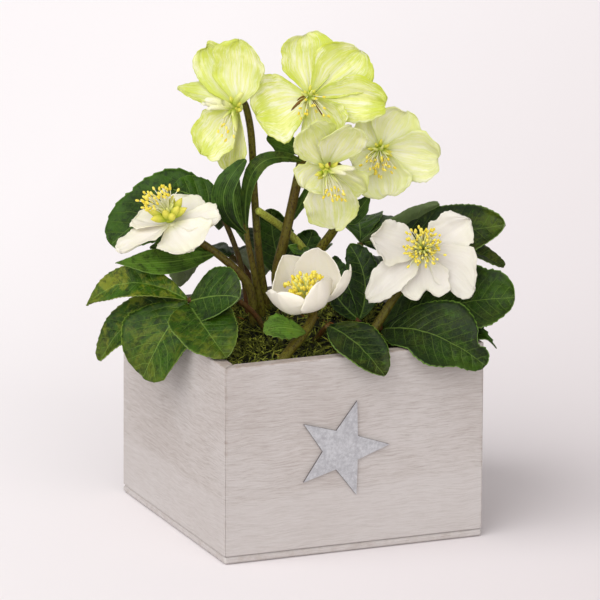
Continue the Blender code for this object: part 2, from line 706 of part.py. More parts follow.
def main():
    clear_scene()
    whitewash = finish("whitewashed_wood", (0.62, 0.57, 0.54), 0.8)
    zinc = finish("zinc", (0.60, 0.62, 0.65), 0.45, 0.8)
    earth = finish("soil", (0.05, 0.03, 0.02), 1.0)
    moss = finish("moss", (0.10, 0.13, 0.02), 0.95)
    green = finish("leaf_green", (0.04, 0.14, 0.02), 0.35)
    olive = finish("stalk_olive", (0.20, 0.22, 0.08), 0.5)
    pale_green = finish("sepal_green", (0.68, 0.76, 0.30), 0.6)
    white = finish("sepal_white", (0.88, 0.87, 0.80), 0.6)
    yellow = finish("stamen_yellow", (0.85, 0.75, 0.15), 0.6)

    for side, name in enumerate(("board_front", "board_right", "board_back", "board_left")):
        make_board(name, side, whitewash)
    make_block("base_board", BOX_SIDE, 0.0, BASE_THICK, whitewash, ease=0.0010)
    make_star(zinc)
    filling = BOX_SIDE - 2 * (BOARD_THICK + GAP)
    soil = make_block("soil", filling, BASE_THICK + GAP, SOIL_TOP, earth)
    fuse("soil", [soil] + stem_holes(), earth, operation="DIFFERENCE")
    mat = make_moss(moss, filling)
    fuse("moss_mat", [mat] + stem_holes(), moss, operation="DIFFERENCE")

    for name, leaf in LEAVES.items():
        make_leaf(name, leaf, green)
    for name, stalk in STALKS.items():
        make_stalk(name, stalk, olive)
    for seed, (name, flower) in enumerate(FLOWERS.items()):
        skin = pale_green if flower["colour"] == "green" else white
        make_sepals(name + "_sepals", flower, skin)
        make_centre(name + "_centre", flower, yellow, seed)


main()
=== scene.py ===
import math
import random

import bpy
from mathutils import Matrix, Vector, noise


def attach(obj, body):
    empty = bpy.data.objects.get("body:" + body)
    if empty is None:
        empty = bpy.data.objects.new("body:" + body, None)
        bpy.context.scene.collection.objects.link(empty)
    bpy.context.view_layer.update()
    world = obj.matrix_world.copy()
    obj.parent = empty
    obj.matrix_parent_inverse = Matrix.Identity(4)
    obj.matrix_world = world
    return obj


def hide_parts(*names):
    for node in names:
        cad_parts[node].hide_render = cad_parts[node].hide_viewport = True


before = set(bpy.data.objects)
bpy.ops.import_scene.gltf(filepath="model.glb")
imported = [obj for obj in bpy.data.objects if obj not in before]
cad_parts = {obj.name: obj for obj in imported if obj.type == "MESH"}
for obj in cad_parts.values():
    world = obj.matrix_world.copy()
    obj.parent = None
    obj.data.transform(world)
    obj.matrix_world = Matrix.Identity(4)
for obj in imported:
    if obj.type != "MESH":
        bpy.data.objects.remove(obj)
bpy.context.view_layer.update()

# Camera
# A long lens a good four metres away, a little to the left of the star's board and
# looking down 15 degrees, as the plant was photographed.
LENS = 480
CAMERA_PLACE = Vector((-1.715589, -4.129256, 1.327915))
LOOKS_FROM = math.radians(22.545)
LOOKS_DOWN = math.radians(15.013)
LEANS = math.radians(0.367)

back = Vector((-math.sin(LOOKS_FROM) * math.cos(LOOKS_DOWN),
               -math.cos(LOOKS_FROM) * math.cos(LOOKS_DOWN), math.sin(LOOKS_DOWN)))
level_right = (-back).cross(Vector((0, 0, 1))).normalized()
level_up = level_right.cross(-back)
lens_right = level_right * math.cos(LEANS) + level_up * math.sin(LEANS)
lens_up = level_up * math.cos(LEANS) - level_right * math.sin(LEANS)
aim = Matrix((lens_right, lens_up, back)).transposed()
bpy.ops.object.camera_add(location=CAMERA_PLACE, rotation=aim.to_euler())
camera = bpy.context.object
camera.data.lens = LENS
camera.data.clip_start = 0.5
camera.data.clip_end = 40
bpy.context.scene.camera = camera

# Studio
# A pale seamless floor whose colour carries a painted light falloff, lighter on the left and far
# back and darker on the right and near front, a broad soft light high on the left, a weaker one
# from low on the right in front, and pale walls all round. Directions are in the plant's own axes.
PLANT_TURN = math.radians(22.5)
FLOOR_SIZE = 14
# The floor's two colours are a painted light falloff: lit on the left and far back, dim on the
# right and near front.
FLOOR_PAINTED_LIT = (0.91, 0.875, 0.885, 1)
FLOOR_PAINTED_DIM = (0.72, 0.665, 0.675, 1)
PAINTED_FALLOFF_SLANT = -0.22
PAINTED_FALLOFF_SPAN = (-0.35, 0.32)
ROOM_COLOUR = (1.0, 0.97, 0.965, 1)
ROOM_STRENGTH = 0.50
KEY_LIGHT = dict(stands=(-0.76, -0.60, 0.94), spread=64, strength=1.94)
FILL_LIGHT = dict(stands=(0.14, -0.95, 0.10), spread=90, strength=2.25)


def seen(right, away, up):
    """A point in the plant's axes, in mm: to the right, away from the eye, and up."""
    flat = Matrix.Rotation(-PLANT_TURN, 3, "Z") @ Vector((right, away, up))
    return flat * 0.001


def pointing(right, away, up):
    return seen(right, away, up).normalized()


bpy.context.scene.view_settings.view_transform = "Standard"
world = bpy.data.worlds.new("room")
bpy.context.scene.world = world
world.use_nodes = True
world.node_tree.nodes["Background"].inputs["Color"].default_value = ROOM_COLOUR
world.node_tree.nodes["Background"].inputs["Strength"].default_value = ROOM_STRENGTH
for lamp_name, lamp in (("key_light", KEY_LIGHT), ("fill_light", FILL_LIGHT)):
    stand = pointing(*lamp["stands"])
    bpy.ops.object.light_add(type="SUN", location=stand * 3,
                             rotation=stand.to_track_quat("Z", "Y").to_euler())
    light = bpy.context.object
    light.name = lamp_name
    light.data.angle = math.radians(lamp["spread"])
    light.data.energy = lamp["strength"]


def colour(red, green, blue):
    """A colour given as it looks, from 0 to 255, as the shader wants it."""
    return tuple(((c / 255 + 0.055) / 1.055) ** 2.4 if c > 10 else c / 255 / 12.92
                 for c in (red, green, blue)) + (1.0,)


class Value:
    """What a finish has at each point: a number, a place or a colour. Sums with it are
    written as with plain numbers."""

    def __init__(self, finish, socket):
        self.finish = finish
        self.socket = socket

    def act(self, action, other=0.0):
        """One sum with another value."""
        return self.finish.step("Math", {0: self, 1: other}, operation=action)

    def __add__(self, other):
        return self.act("ADD", other)

    def __sub__(self, other):
        return self.act("SUBTRACT", other)

    def __mul__(self, other):
        return self.act("MULTIPLY", other)

    def __truediv__(self, other):
        return self.act("DIVIDE", other)

    def __abs__(self):
        return self.act("ABSOLUTE")

    def between(self, low, high, out_low=0.0, out_high=1.0):
        """Ease it from one range to another, held at both ends."""
        return self.finish.step("MapRange", {"Value": self, "From Min": low, "From Max": high,
                                             "To Min": out_low, "To Max": out_high},
                                interpolation_type="SMOOTHSTEP")

    def mix(self, share, other):
        """This colour with a share of another."""
        return self.finish.blend(share, self, other)


class Finish:
    """One finish, made a node at a time, and the place on the object that it reads."""

    def __init__(self, name):
        self.material = bpy.data.materials.new(name)
        self.material.use_nodes = True
        self.tree = self.material.node_tree
        self.shader = self.tree.nodes["Principled BSDF"]
        self.place = self.step("TexCoord", {}, "Object")

    def feed(self, socket, value):
        """Set a socket, or join it to what changes from point to point."""
        if isinstance(value, Value):
            self.tree.links.new(value.socket, socket)
        elif socket.type == "RGBA" and len(value) == 3:
            socket.default_value = colour(*value)
        else:
            socket.default_value = value

    def node(self, kind, sockets, **settings):
        """One node with its sockets fed, and all that it gives."""
        made = self.tree.nodes.new("ShaderNode" + kind)
        for key, value in settings.items():
            setattr(made, key, value)
        for key, value in sockets.items():
            self.feed(made.inputs[key], value)
        return made.outputs

    def step(self, kind, sockets, give=0, **settings):
        """One node, and the one thing wanted from it."""
        return Value(self, self.node(kind, sockets, **settings)[give])

    def parts(self, value, kind="SeparateXYZ"):
        """The three parts of a place or a colour."""
        return [Value(self, part) for part in self.node(kind, {0: value})]

    def carried(self, name, give="Vector"):
        """What the mesh carries under a name."""
        return self.step("Attribute", {}, give, attribute_name=name)

    def blend(self, share, first, second):
        """Two colours mixed by a share."""
        return self.step("Mix", {0: share, 6: first, 7: second}, 2, data_type="RGBA")

    def mottle(self, where, scale, detail, rough, stretch=(1, 1, 1), swirl=0.0):
        """A cloudy value over the surface, drawn out along some axes."""
        placed = self.step("Mapping", {"Vector": where, "Scale": stretch})
        return self.step("TexNoise", {"Vector": placed, "Scale": scale, "Detail": detail,
                                      "Roughness": rough, "Distortion": swirl})

    def dress(self, skin, rough, gloss=0.5, relief=None, strength=0.0, deep=0.0, glow=0.0):
        """Feed the shader its colour, roughness, gloss and relief. Glow is the share of the
        light that comes through."""
        shader = self.shader
        self.feed(shader.inputs["Base Color"], skin)
        self.feed(shader.inputs["Roughness"], rough)
        self.feed(shader.inputs["Specular IOR Level"], gloss)
        if relief:
            bump = self.step("Bump", {"Strength": strength, "Distance": deep, "Height": relief})
            self.feed(shader.inputs["Normal"], bump)
        if glow:
            through = self.step("BsdfTranslucent", {"Color": skin})
            plain = Value(self, shader.outputs[0])
            both = self.step("MixShader", {0: glow, 1: plain, 2: through})
            self.feed(self.tree.nodes["Material Output"].inputs["Surface"], both)
        return self.material


bpy.ops.mesh.primitive_grid_add(x_subdivisions=8, y_subdivisions=8, size=FLOOR_SIZE,
                                location=(0, 0, -0.0003))
floor = bpy.context.object
floor.name = "floor"
bpy.ops.object.transform_apply(location=True, rotation=True, scale=True)
paper = Finish("floor_paper")
turned = paper.step("Mapping", {"Vector": paper.place, "Rotation": (0, 0, PLANT_TURN)})
right, away, _ = paper.parts(turned)
# Painted light falloff across the floor, from the lit colour on the left and far back to the dim
# one on the right and near front.
painted_falloff = paper.step("MapRange", {"Value": away * PAINTED_FALLOFF_SLANT + right, "From Min": PAINTED_FALLOFF_SPAN[0],
                               "From Max": PAINTED_FALLOFF_SPAN[1]})
floor.data.materials.append(paper.dress(paper.blend(painted_falloff, FLOOR_PAINTED_LIT, FLOOR_PAINTED_DIM), 0.95, 0.0))

# Box
# Four mitred softwood boards on a thin base board, brushed with thin whitewash, so that
# the fine wavy grain still shows and the corners are rubbed back to brown wood.
BOX_SIDE = 0.160
BOX_HEIGHT = 0.116
BOARD_THICK = 0.008
BASE_SEAM = 0.0045
WORN_CORNER = 0.0025
GRAIN_WAVER = 0.007
WASH = (180, 173, 169)
WASH_DARK = (172, 163, 158)
WASH_LIGHT = (192, 187, 185)
GRAIN_DARK = (152, 142, 136)
BARE_WOOD = (134, 112, 95)


def whitewash_finish():
    wood = Finish("whitewashed_wood")
    place = wood.place
    across, depth, height = wood.parts(place)
    waver = wood.step("TexNoise", {"Vector": place, "Scale": 26, "Detail": 2}, "Color")
    waver = wood.step("VectorMath", {0: waver, 1: (0.5, 0.5, 0.5)}, operation="SUBTRACT")
    waver = wood.step("VectorMath", {0: waver, "Scale": GRAIN_WAVER}, operation="SCALE")
    wavy = wood.step("VectorMath", {0: place, 1: waver}, operation="ADD")
    tone = wood.mottle(place, 14, 4, 0.6)
    grain = wood.mottle(wavy, 150, 4, 0.65, stretch=(0.45, 0.45, 8))
    fibre = wood.mottle(wavy, 300, 3, 0.7, stretch=(0.35, 0.35, 6))
    pores = wood.mottle(wavy, 230, 3, 0.8, stretch=(0.35, 0.35, 5))
    skin = wood.blend(tone.between(0.35, 0.68), WASH_DARK, WASH_LIGHT).mix(0.60, WASH)
    skin = skin.mix(grain.between(0.50, 0.64, 0, 0.30), GRAIN_DARK)
    skin = skin.mix(fibre.between(0.52, 0.62, 0, 0.50), WASH_LIGHT)
    skin = skin.mix(fibre.between(0.47, 0.36, 0, 0.42), GRAIN_DARK)
    skin = skin.mix(pores.between(0.66, 0.76, 0, 0.40), BARE_WOOD)
    half = BOX_SIDE / 2
    corner = abs(across).act("MINIMUM", abs(depth)).between(half - WORN_CORNER, half)
    top = height.between(BOX_HEIGHT - 0.0014, BOX_HEIGHT - 0.0004)
    seam = height.between(BASE_SEAM + 0.0007, BASE_SEAM - 0.0007)
    patchy = wood.mottle(place, 190, 3, 0.7).between(0.42, 0.72)
    worn = corner.act("MAXIMUM", top).act("MAXIMUM", seam) * patchy
    skin = skin.mix(worn * 0.42, BARE_WOOD)
    rim = height.between(BOX_HEIGHT - 0.0006, BOX_HEIGHT - 0.0001, 0, 0.35)
    skin = skin.mix(rim, BARE_WOOD)
    band = height - across * 0.05 + tone * 0.02
    skin = skin.mix(band.between(0.052, 0.046, 0, 0.40), WASH_LIGHT)
    return wood.dress(skin, grain.between(0.3, 0.7, 0.72, 0.92), 0.25, grain + fibre * 0.7,
                      0.40, 0.0005)


def clad(finish, *nodes):
    """Give solids of the part their finish."""
    for node in nodes:
        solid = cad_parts[node]
        solid.data.materials.clear()
        solid.data.materials.append(finish)


clad(whitewash_finish(), "board_front", "board_right", "board_back", "board_left", "base_board")

# Star
# A five-pointed star cut from thin zinc sheet, dull and blotched from weather, its cut
# edge darker, glued flat on the front board.
ZINC = (176, 175, 179)
ZINC_DARK = (156, 156, 160)
ZINC_LIGHT = (196, 197, 200)
ZINC_EDGE = (116, 111, 111)


def zinc_finish():
    zinc = Finish("zinc_sheet")
    clouds = zinc.mottle(zinc.place, 240, 5, 0.75)
    specks = zinc.mottle(zinc.place, 620, 4, 0.7)
    skin = zinc.blend(clouds.between(0.36, 0.66), ZINC_DARK, ZINC_LIGHT).mix(0.40, ZINC)
    skin = skin.mix(specks.between(0.52, 0.66, 0, 0.65), ZINC_DARK)
    skin = skin.mix(specks.between(0.46, 0.36, 0, 0.60), ZINC_LIGHT)
    facing = zinc.parts(zinc.step("NewGeometry", {}, "True Normal"))[1]
    skin = skin.mix(abs(facing).between(0.9, 0.5), ZINC_EDGE)
    zinc.shader.inputs["Metallic"].default_value = 0.35
    return zinc.dress(skin, clouds.between(0.3, 0.7, 0.50, 0.68), relief=specks,
                      strength=0.25, deep=0.0003)


clad(zinc_finish(), "star")

# Soil
# Damp dark compost that fills the box under the moss.
SOIL_DARK = (26, 18, 12)
SOIL_LIGHT = (70, 52, 38)


def soil_finish():
    compost = Finish("compost")
    crumbs = compost.mottle(compost.place, 420, 6, 0.7)
    return compost.dress(compost.blend(crumbs, SOIL_DARK, SOIL_LIGHT), 0.95, relief=crumbs,
                         strength=0.8, deep=0.0015)


clad(soil_finish(), "soil")

# Moss
# A mound of live moss pressed over the compost: a matted cushion, and thousands of
# thin curling sprigs on it, olive with lighter tips and a few rusty ones. The cushion and the
# sprigs' feet are near black, partly the moss's own dark colour and partly painted shade in
# the gaps down in the mat.
MOSS_SIDE = 0.1434
MOSS_FOOT = 0.0983
MOSS_RIM = 0.109
MOSS_CROWN = 0.122
MOSS_CELLS = 110
TUFTS = 680
TUFT_SPRIGS = 8
TUFT_RADIUS = 0.0034
SPRIG_LENGTH = (0.0045, 0.0105)
SPRIG_RADIUS = 0.00046
SPRIG_ROOT = 0.0014
WALL_GAP = 0.0016
RUSTY_TUFTS = 0.014
MOSS_DARK_AND_SHADE = (14, 15, 4)
MOSS_OLIVE = (76, 82, 20)
MOSS_TIP = (196, 202, 76)
MOSS_RUST = (168, 84, 36)


def pick(*things):
    """Select these and nothing else, the first one active."""
    bpy.ops.object.select_all(action="DESELECT")
    for thing in things:
        thing.select_set(True)
    if things:
        bpy.context.view_layer.objects.active = things[0]


def smoothed():
    """Turn the faces of the active piece outwards, and shade it smooth."""
    bpy.ops.object.mode_set(mode="EDIT")
    bpy.ops.mesh.select_all(action="SELECT")
    bpy.ops.mesh.normals_make_consistent(inside=False)
    bpy.ops.object.mode_set(mode="OBJECT")
    bpy.ops.object.shade_smooth()


def moss_height(x, y):
    """The mound: highest at the crown of the plant, lumpy all over."""
    reach = max(abs(x), abs(y)) / (BOX_SIDE / 2)
    mound = (MOSS_CROWN - MOSS_RIM) * math.exp(-((x / 0.034) ** 2 + (y / 0.034) ** 2))
    lumps = 0.0014 * math.sin(x * 420 + 1.3) * math.cos(y * 380)
    lumps += 0.0009 * math.sin(x * 910 - y * 760)
    return MOSS_RIM + mound + lumps * (1 - 0.4 * reach)


def round_shape(sides, rings):
    """A ball to shape: its rings become the length of a stem, a sprig, a thread or a pod."""
    pick()
    bpy.ops.mesh.primitive_uv_sphere_add(segments=sides, ring_count=rings, radius=1)
    return bpy.context.object


def along(places, radius):
    """Where a point of the tube shape goes, on a line given as a function of 0 to 1."""
    def put(point):
        share = 1 - math.acos(max(-1, min(1, point.z))) / math.pi
        here = places(share)
        ahead = places(min(1, share + 0.02)) - places(max(0, share - 0.02))
        line = ahead.normalized()
        side = line.orthogonal() if abs(line.x) > 0.92 else Vector((1, 0, 0))
        side = (side - line * side.dot(line)).normalized()
        other = line.cross(side)
        flat = Vector((point.x, point.y))
        if flat.length < 1e-5:
            return here, share
        flat = flat.normalized() * radius(share)
        return here + side * flat.x + other * flat.y, share
    return put


def laid(shape, put, kind, tone):
    """A copy of the ball with its own mesh, laid where it goes. It remembers what it is,
    its tone, and how far along itself each point lies."""
    copy = shape.copy()
    copy.data = shape.data.copy()
    bpy.context.scene.collection.objects.link(copy)
    told = copy.data.attributes.new("organ", "FLOAT_VECTOR", "POINT")
    for vert, item in zip(copy.data.vertices, told.data):
        vert.co, share = put(vert.co)
        item.vector = (kind, tone, share)
    return copy


def as_piece(name, bodies, finish, slot, *nodes, smooth=False):
    """Join the bodies into one piece of the plant. It stands for nodes of the part."""
    pick(*bodies)
    if len(bodies) > 1:
        bpy.ops.object.join()
    piece = bpy.context.object
    piece.name = name
    bpy.ops.object.transform_apply(location=True, rotation=True, scale=True)
    if smooth:
        smoothed()
    piece.data.materials.clear()
    piece.data.materials.append(finish)
    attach(piece, "root")
    if nodes:
        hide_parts(*nodes)


def moss_finish():
    moss = Finish("moss")
    patches = moss.mottle(moss.place, 90, 4, 0.6)
    fuzz = moss.mottle(moss.place, 1500, 3, 0.7)
    rust, tone, share = moss.parts(moss.carried("organ"))
    # Darker towards the sprigs' feet and on the cushion: partly the moss's own colour, partly
    # painted shade down in the mat.
    skin = moss.blend(share.between(0.0, 0.8), MOSS_DARK_AND_SHADE, MOSS_OLIVE)
    skin = skin.mix(share.between(0.3, 1.0) * tone, MOSS_TIP)
    skin = skin.mix(patches.between(0.55, 0.75, 0, 0.5), MOSS_DARK_AND_SHADE).mix(rust, MOSS_RUST)
    return moss.dress(skin, 0.75, 0.3, fuzz, 0.8, 0.0006)


moss_skin = moss_finish()
pick()
bpy.ops.mesh.primitive_grid_add(x_subdivisions=MOSS_CELLS, y_subdivisions=MOSS_CELLS,
                                size=MOSS_SIDE)
cushion = bpy.context.object
for vert in cushion.data.vertices:
    x, y = vert.co.x, vert.co.y
    tufts = noise.fractal(Vector((x, y, 0)) * 170, 0.6, 2.1, 4)
    vert.co.z = moss_height(x, y) + 0.0016 * tufts - 0.0006
bpy.ops.object.mode_set(mode="EDIT")
bpy.ops.mesh.select_all(action="SELECT")
bpy.ops.mesh.extrude_region_move(TRANSFORM_OT_translate={"value": (0, 0, -0.05)})
bpy.ops.object.mode_set(mode="OBJECT")
for vert in cushion.data.vertices:
    if vert.co.z < MOSS_FOOT:
        vert.co.z = MOSS_FOOT
told = cushion.data.attributes.new("organ", "FLOAT_VECTOR", "POINT")
for vert, item in zip(cushion.data.vertices, told.data):
    item.vector = (0.0, 0.2, 0.12 + 0.25 * noise.noise(vert.co * 400))
as_piece("moss_cushion", [cushion], moss_skin, "moss", "moss_mat", smooth=True)

draw = random.Random(11)
sprig_shape = round_shape(3, 7)
sprigs = []
half_side = MOSS_SIDE / 2 - WALL_GAP
for _ in range(TUFTS):
    middle = Vector((draw.uniform(-half_side, half_side), draw.uniform(-half_side, half_side), 0))
    brightness = draw.random() ** 1.4
    rust = 0.75 if draw.random() < RUSTY_TUFTS else 0.0
    for number in range(TUFT_SPRIGS):
        angle = math.tau * (number + draw.random()) / TUFT_SPRIGS
        outward = Vector((math.cos(angle), math.sin(angle), 0))
        spot = middle + outward * TUFT_RADIUS * draw.random()
        x = max(-half_side, min(half_side, spot.x))
        y = max(-half_side, min(half_side, spot.y))
        inward = Vector((-x, -y, 0)) * (max(abs(x), abs(y)) / half_side) ** 8 / half_side * 0.8
        rise = (Vector((0, 0, 0.55)) + outward * draw.uniform(0.2, 1.2) + inward).normalized()
        curl = Vector((draw.gauss(0, 0.45), draw.gauss(0, 0.45), draw.gauss(-0.20, 0.25)))
        length = draw.uniform(*SPRIG_LENGTH)
        foot = Vector((x, y, moss_height(x, y) - SPRIG_ROOT))
        thick = SPRIG_RADIUS * draw.uniform(0.7, 1.35)
        line = along(lambda share: foot + (rise * share + curl * share ** 2) * length,
                     lambda share: thick * (1.35 if round(share * 7) % 2 else 0.5)
                     * (1.15 - 0.6 * share))
        tone = min(1, brightness * draw.uniform(0.6, 1.3))
        sprigs.append(laid(sprig_shape, line, rust, tone))
as_piece("moss_sprigs", sprigs, moss_skin, "moss", smooth=True)
bpy.data.objects.remove(sprig_shape)

# Leaves
# Leathery evergreen leaves: a reddish petiole out of the moss, and toothed leaflets spread
# from its end. Each leaflet has a sunk midrib, side veins and a thin pale margin.
PETIOLE_RADIUS = 0.0017
LEAF_THICK = 0.0005
LEAF_CUP = 0.16
LEAF_WAVE = 0.012
LEAF_POINT = 0.55
LARGE_LEAFLET = 22
TEETH = (3.6, 0.8)
BRACT_TEETH = (5, 0.3)
VEIN_EVERY = 6.4
VEIN_LEAN = 0.62
VEIN_CURVE = 0.011
RIM_REST = 0.0014
RIM_FALL = 100.0
LEAF_DARK = (5, 20, 0)
LEAF_BRIGHT = (66, 106, 14)
LEAF_BLUE = (22, 44, 26)
LEAF_YELLOWED = (124, 130, 34)
VEIN_GREEN = (140, 172, 76)
BRACT_BRIGHT = (90, 128, 40)
LEAF_EDGE = (98, 134, 46)
LEAF_EDGE_YELLOWED = (138, 142, 54)
LEAF_UNDER = (116, 132, 88)
# A leaf is the route of its petiole and its leaflets, in mm in the plant's axes. A leaflet
# is its base, its tip, how its middle bends, where it faces, its width, and its tint: how
# light, yellowed, blue and clearly veined it is. How light is partly the leaflet's own green
# and partly painted shade, set darker on leaflets that lie in shade under the flowers and
# other leaves. Then may come what is its own: how drawn out its point is, how far apart and
# deep its teeth are, and the bumps of its edge, each with its side, its place, its breadth
# and its size in mm.
LEAVES = {
    "leaf_front_left": (
        [(-20, -18, 91), (-20, -18, 112), (-34, -22, 132), (-55, -29, 138), (-66, -31, 136)],
        [((-66, -31, 137), (-124, -20, 130), (-4, -1, 12), (-0.2, -0.65, 0.8), 23,
          (0.70, 1.0, 0.0, 0.35), dict(point=1.0, teeth=(3.0, 0.8))),
         ((-66, -31, 135), (-116, -24, 98), (-6, 6, 6), (-0.5, -0.6, 0.6), 26,
          (0.50, 0.70, 0.0, 0.40), dict(teeth=(3.4, 0.9))),
         ((-66, -32, 135), (-91, -44, 94), (-1, -4, 4), (-0.47, -0.70, 0.50), 50,
          (0.40, 0.42, 0.0, 0.60),
          dict(point=0.42, teeth=(3.2, 1.0), bumps=[(1, 0.55, 0.12, 1.4), (-1, 0.75, 0.10, 1.2)])),
         ((-65, -33, 135), (-43, -88, 118), (-3, 0, 4), (-0.10, -0.50, 0.85), 38,
          (0.24, 0.42, 0.1, 0.40), dict(teeth=(3.4, 0.9), bumps=[(1, 0.80, 0.12, 1.6)])),
         ((-65, -32, 136), (-36, -56, 145), (1, -3, 3), (0.0, -0.80, 0.60), 36,
          (0.06, 0.10, 0.6, 0.50), dict(teeth=(3.2, 0.7))),
         ((-66, -31, 136), (-106, -8, 124), (0, 0, 2), (-0.2, -0.6, 0.8), 15,
          (0.6, 0.2, 0.0, 0.3))]),
    "leaf_back_left": (
        [(-31, 17, 91), (-31, 17, 112), (-36, 20, 145), (-46, 24, 172)],
        [((-46, 24, 172), (-111, 16, 157), (2, 2, 14), (-0.15, -0.70, 0.70), 45,
          (0.50, 0.0, 0.0, 0.35),
          dict(point=0.42, teeth=(4.8, 1.5),
               bumps=[(1, 0.40, 0.09, 1.8), (-1, 0.65, 0.10, 1.5), (1, 0.72, 0.05, -1.5)])),
         ((-46, 24, 172), (-76, 25, 188), (0, 0, 3), (-0.1, -0.80, 0.60), 25,
          (0.60, 0.0, 0.0, 0.75)),
         ((-46, 25, 172), (-90, 62, 150), (-3, 3, 10), (-0.3, 0.20, 0.90), 34, (0.60, 0.1, 0.0)),
         ((-45, 25, 172), (-50, 82, 150), (0, 3, 12), (-0.1, 0.40, 0.90), 32, (0.45, 0.2, 0.1))]),
    "leaf_back_middle": (
        [(-7, 27, 91), (-7, 27, 112), (-9, 28, 132)],
        [((-9, 28, 132), (-18, 43, 172), (-3, 2, 1), (0.1, -0.9, 0.3), 24, (0.35, 0.05, 0.1)),
         ((-9, 28, 132), (6, 41, 160), (2, 2, 1), (-0.1, -0.9, 0.4), 20, (0.30, 0.0, 0.1)),
         ((-9, 29, 132), (-28, 76, 150), (-2, 2, 10), (-0.2, 0.2, 0.95), 28, (0.40, 0.2, 0.0)),
         ((-9, 29, 132), (8, 88, 134), (1, 2, 10), (0.1, 0.3, 0.95), 30, (0.35, 0.1, 0.1))]),
    "leaf_back_right": (
        [(20, 15, 91), (20, 15, 112), (27, 20, 136), (34, 25, 157)],
        [((34, 25, 158), (79, 30, 179), (1, 0, -3), (-0.1, 0.70, 0.65), 20, (1.0, 0.0, 0.5, 0.9),
          dict(teeth=(4, 0.3))),
         ((34, 25, 157), (117, 14, 171), (1, 0, -1), (0.0, -0.72, 0.68), 35,
          (0.16, 0.20, 0.1, 0.35),
          dict(point=0.45, teeth=(3.6, 0.7), bumps=[(1, 0.75, 0.10, 1.5)])),
         ((34, 25, 156), (117, 24, 143), (2, 4, 8), (0.2, -0.3, 0.90), 26, (0.18, 0.25, 0.0, 0.35),
          dict(teeth=(3.8, 1.3))),
         ((34, 26, 157), (76, 74, 146), (2, 2, 12), (0.2, 0.3, 0.90), 32, (0.40, 0.1, 0.0)),
         ((34, 26, 157), (30, 84, 148), (0, 2, 12), (0.0, 0.4, 0.90), 30, (0.50, 0.2, 0.0))]),
    "leaf_right": (
        [(26, -12, 91), (26, -12, 108), (36, -20, 117), (46, -26, 119)],
        [((46, -25, 119), (122, -27, 138), (1, 2, 4), (-0.1, -0.62, 0.78), 50,
          (0.24, 0.08, 0.0, 0.45),
          dict(point=0.40, teeth=(3.7, 1.5), bumps=[(-1, 0.80, 0.06, -2.2), (1, 0.82, 0.07, 1.6)])),
         ((46, -27, 119), (105, -61, 107), (-2, -7, 10), (0.0, -0.65, 0.76), 42,
          (0.10, 0.05, 0.0, 0.38),
          dict(teeth=(3.4, 1.2),
               bumps=[(-1, 0.60, 0.16, 3.0), (-1, 0.88, 0.06, -6.0), (1, 0.42, 0.10, -1.8),
                      (1, 0.66, 0.08, 1.8), (1, 0.84, 0.06, -2.0)])),
         ((46, -26, 118), (111, -42, 106), (2, 2, 10), (0.2, -0.75, 0.60), 24,
          (0.55, 0.0, 0.0, 0.4), dict(teeth=(3.6, 1.4)))]),
    "leaf_front": (
        [(6, -30, 91), (6, -30, 108), (11, -43, 121), (15, -54, 128)],
        [((15, -54, 128), (47, -81, 106), (0, -2, 5), (0.17, -0.53, 0.79), 30,
          (0.12, 0.15, 0.0, 0.35), dict(teeth=(3.2, 0.7)))]),
    "leaf_inner": (
        [(18, -8, 91), (18, -8, 108), (26, -14, 116), (33, -18, 122)],
        [((33, -18, 122), (27, 0, 162), (6, 0, 1), (0.1, -0.9, 0.3), 20, (0.20, 0.0, 0.1)),
         ((33, -18, 122), (17, -15, 140), (-1, 0, -1), (0.2, -0.8, 0.5), 13, (0.15, 0.0, 0.1)),
         ((33, -17, 122), (18, 6, 153), (-3, 0, 1), (0.2, -0.9, 0.3), 16, (0.30, 0.0, 0.1))]),
    "leaf_far_left": (
        [(-22, 37, 91), (-22, 37, 112), (-32, 48, 132), (-42, 56, 140)],
        [((-42, 56, 140), (-96, 46, 126), (-2, 2, 8), (-0.2, 0.0, 0.95), 30, (0.35, 0.1, 0.1)),
         ((-42, 56, 140), (-72, 92, 112), (-4, 4, 12), (-0.3, 0.5, 0.80), 30, (0.45, 0.2, 0.0)),
         ((-42, 56, 140), (-24, 98, 116), (1, 4, 10), (0.0, 0.6, 0.80), 26, (0.30, 0.1, 0.1))]),
    "leaf_far_right": (
        [(16, 39, 91), (16, 39, 112), (34, 48, 128), (46, 54, 134)],
        [((46, 54, 134), (94, 46, 124), (2, 2, 8), (0.2, 0.0, 0.95), 30, (0.25, 0.0, 0.1)),
         ((46, 54, 134), (76, 90, 108), (4, 4, 12), (0.3, 0.5, 0.80), 30, (0.35, 0.2, 0.0)),
         ((46, 54, 134), (40, 104, 112), (0, 4, 10), (0.0, 0.6, 0.80), 26, (0.45, 0.1, 0.0))]),
}


def leaf_share(u, point):
    """Half width along a leaflet; a higher point draws its end out longer."""
    broad = 0.52
    if u < broad:
        return 0.05 + 0.95 * math.sin(math.pi / 2 * u / broad) ** 0.9
    return 0.01 + 0.99 * math.cos(math.pi / 2 * (u - broad) / (1 - broad)) ** point


def over_rim(spot):
    """Lift a place on a leaf that would sink into the rim, so that the leaf lies over it."""
    outside = max(abs(spot.x), abs(spot.y)) - BOX_SIDE / 2
    if outside < -BOARD_THICK - RIM_REST:
        return spot
    lowest = BOX_HEIGHT + RIM_REST - RIM_FALL * max(outside, 0) ** 2
    return Vector((spot.x, spot.y, max(spot.z, lowest)))


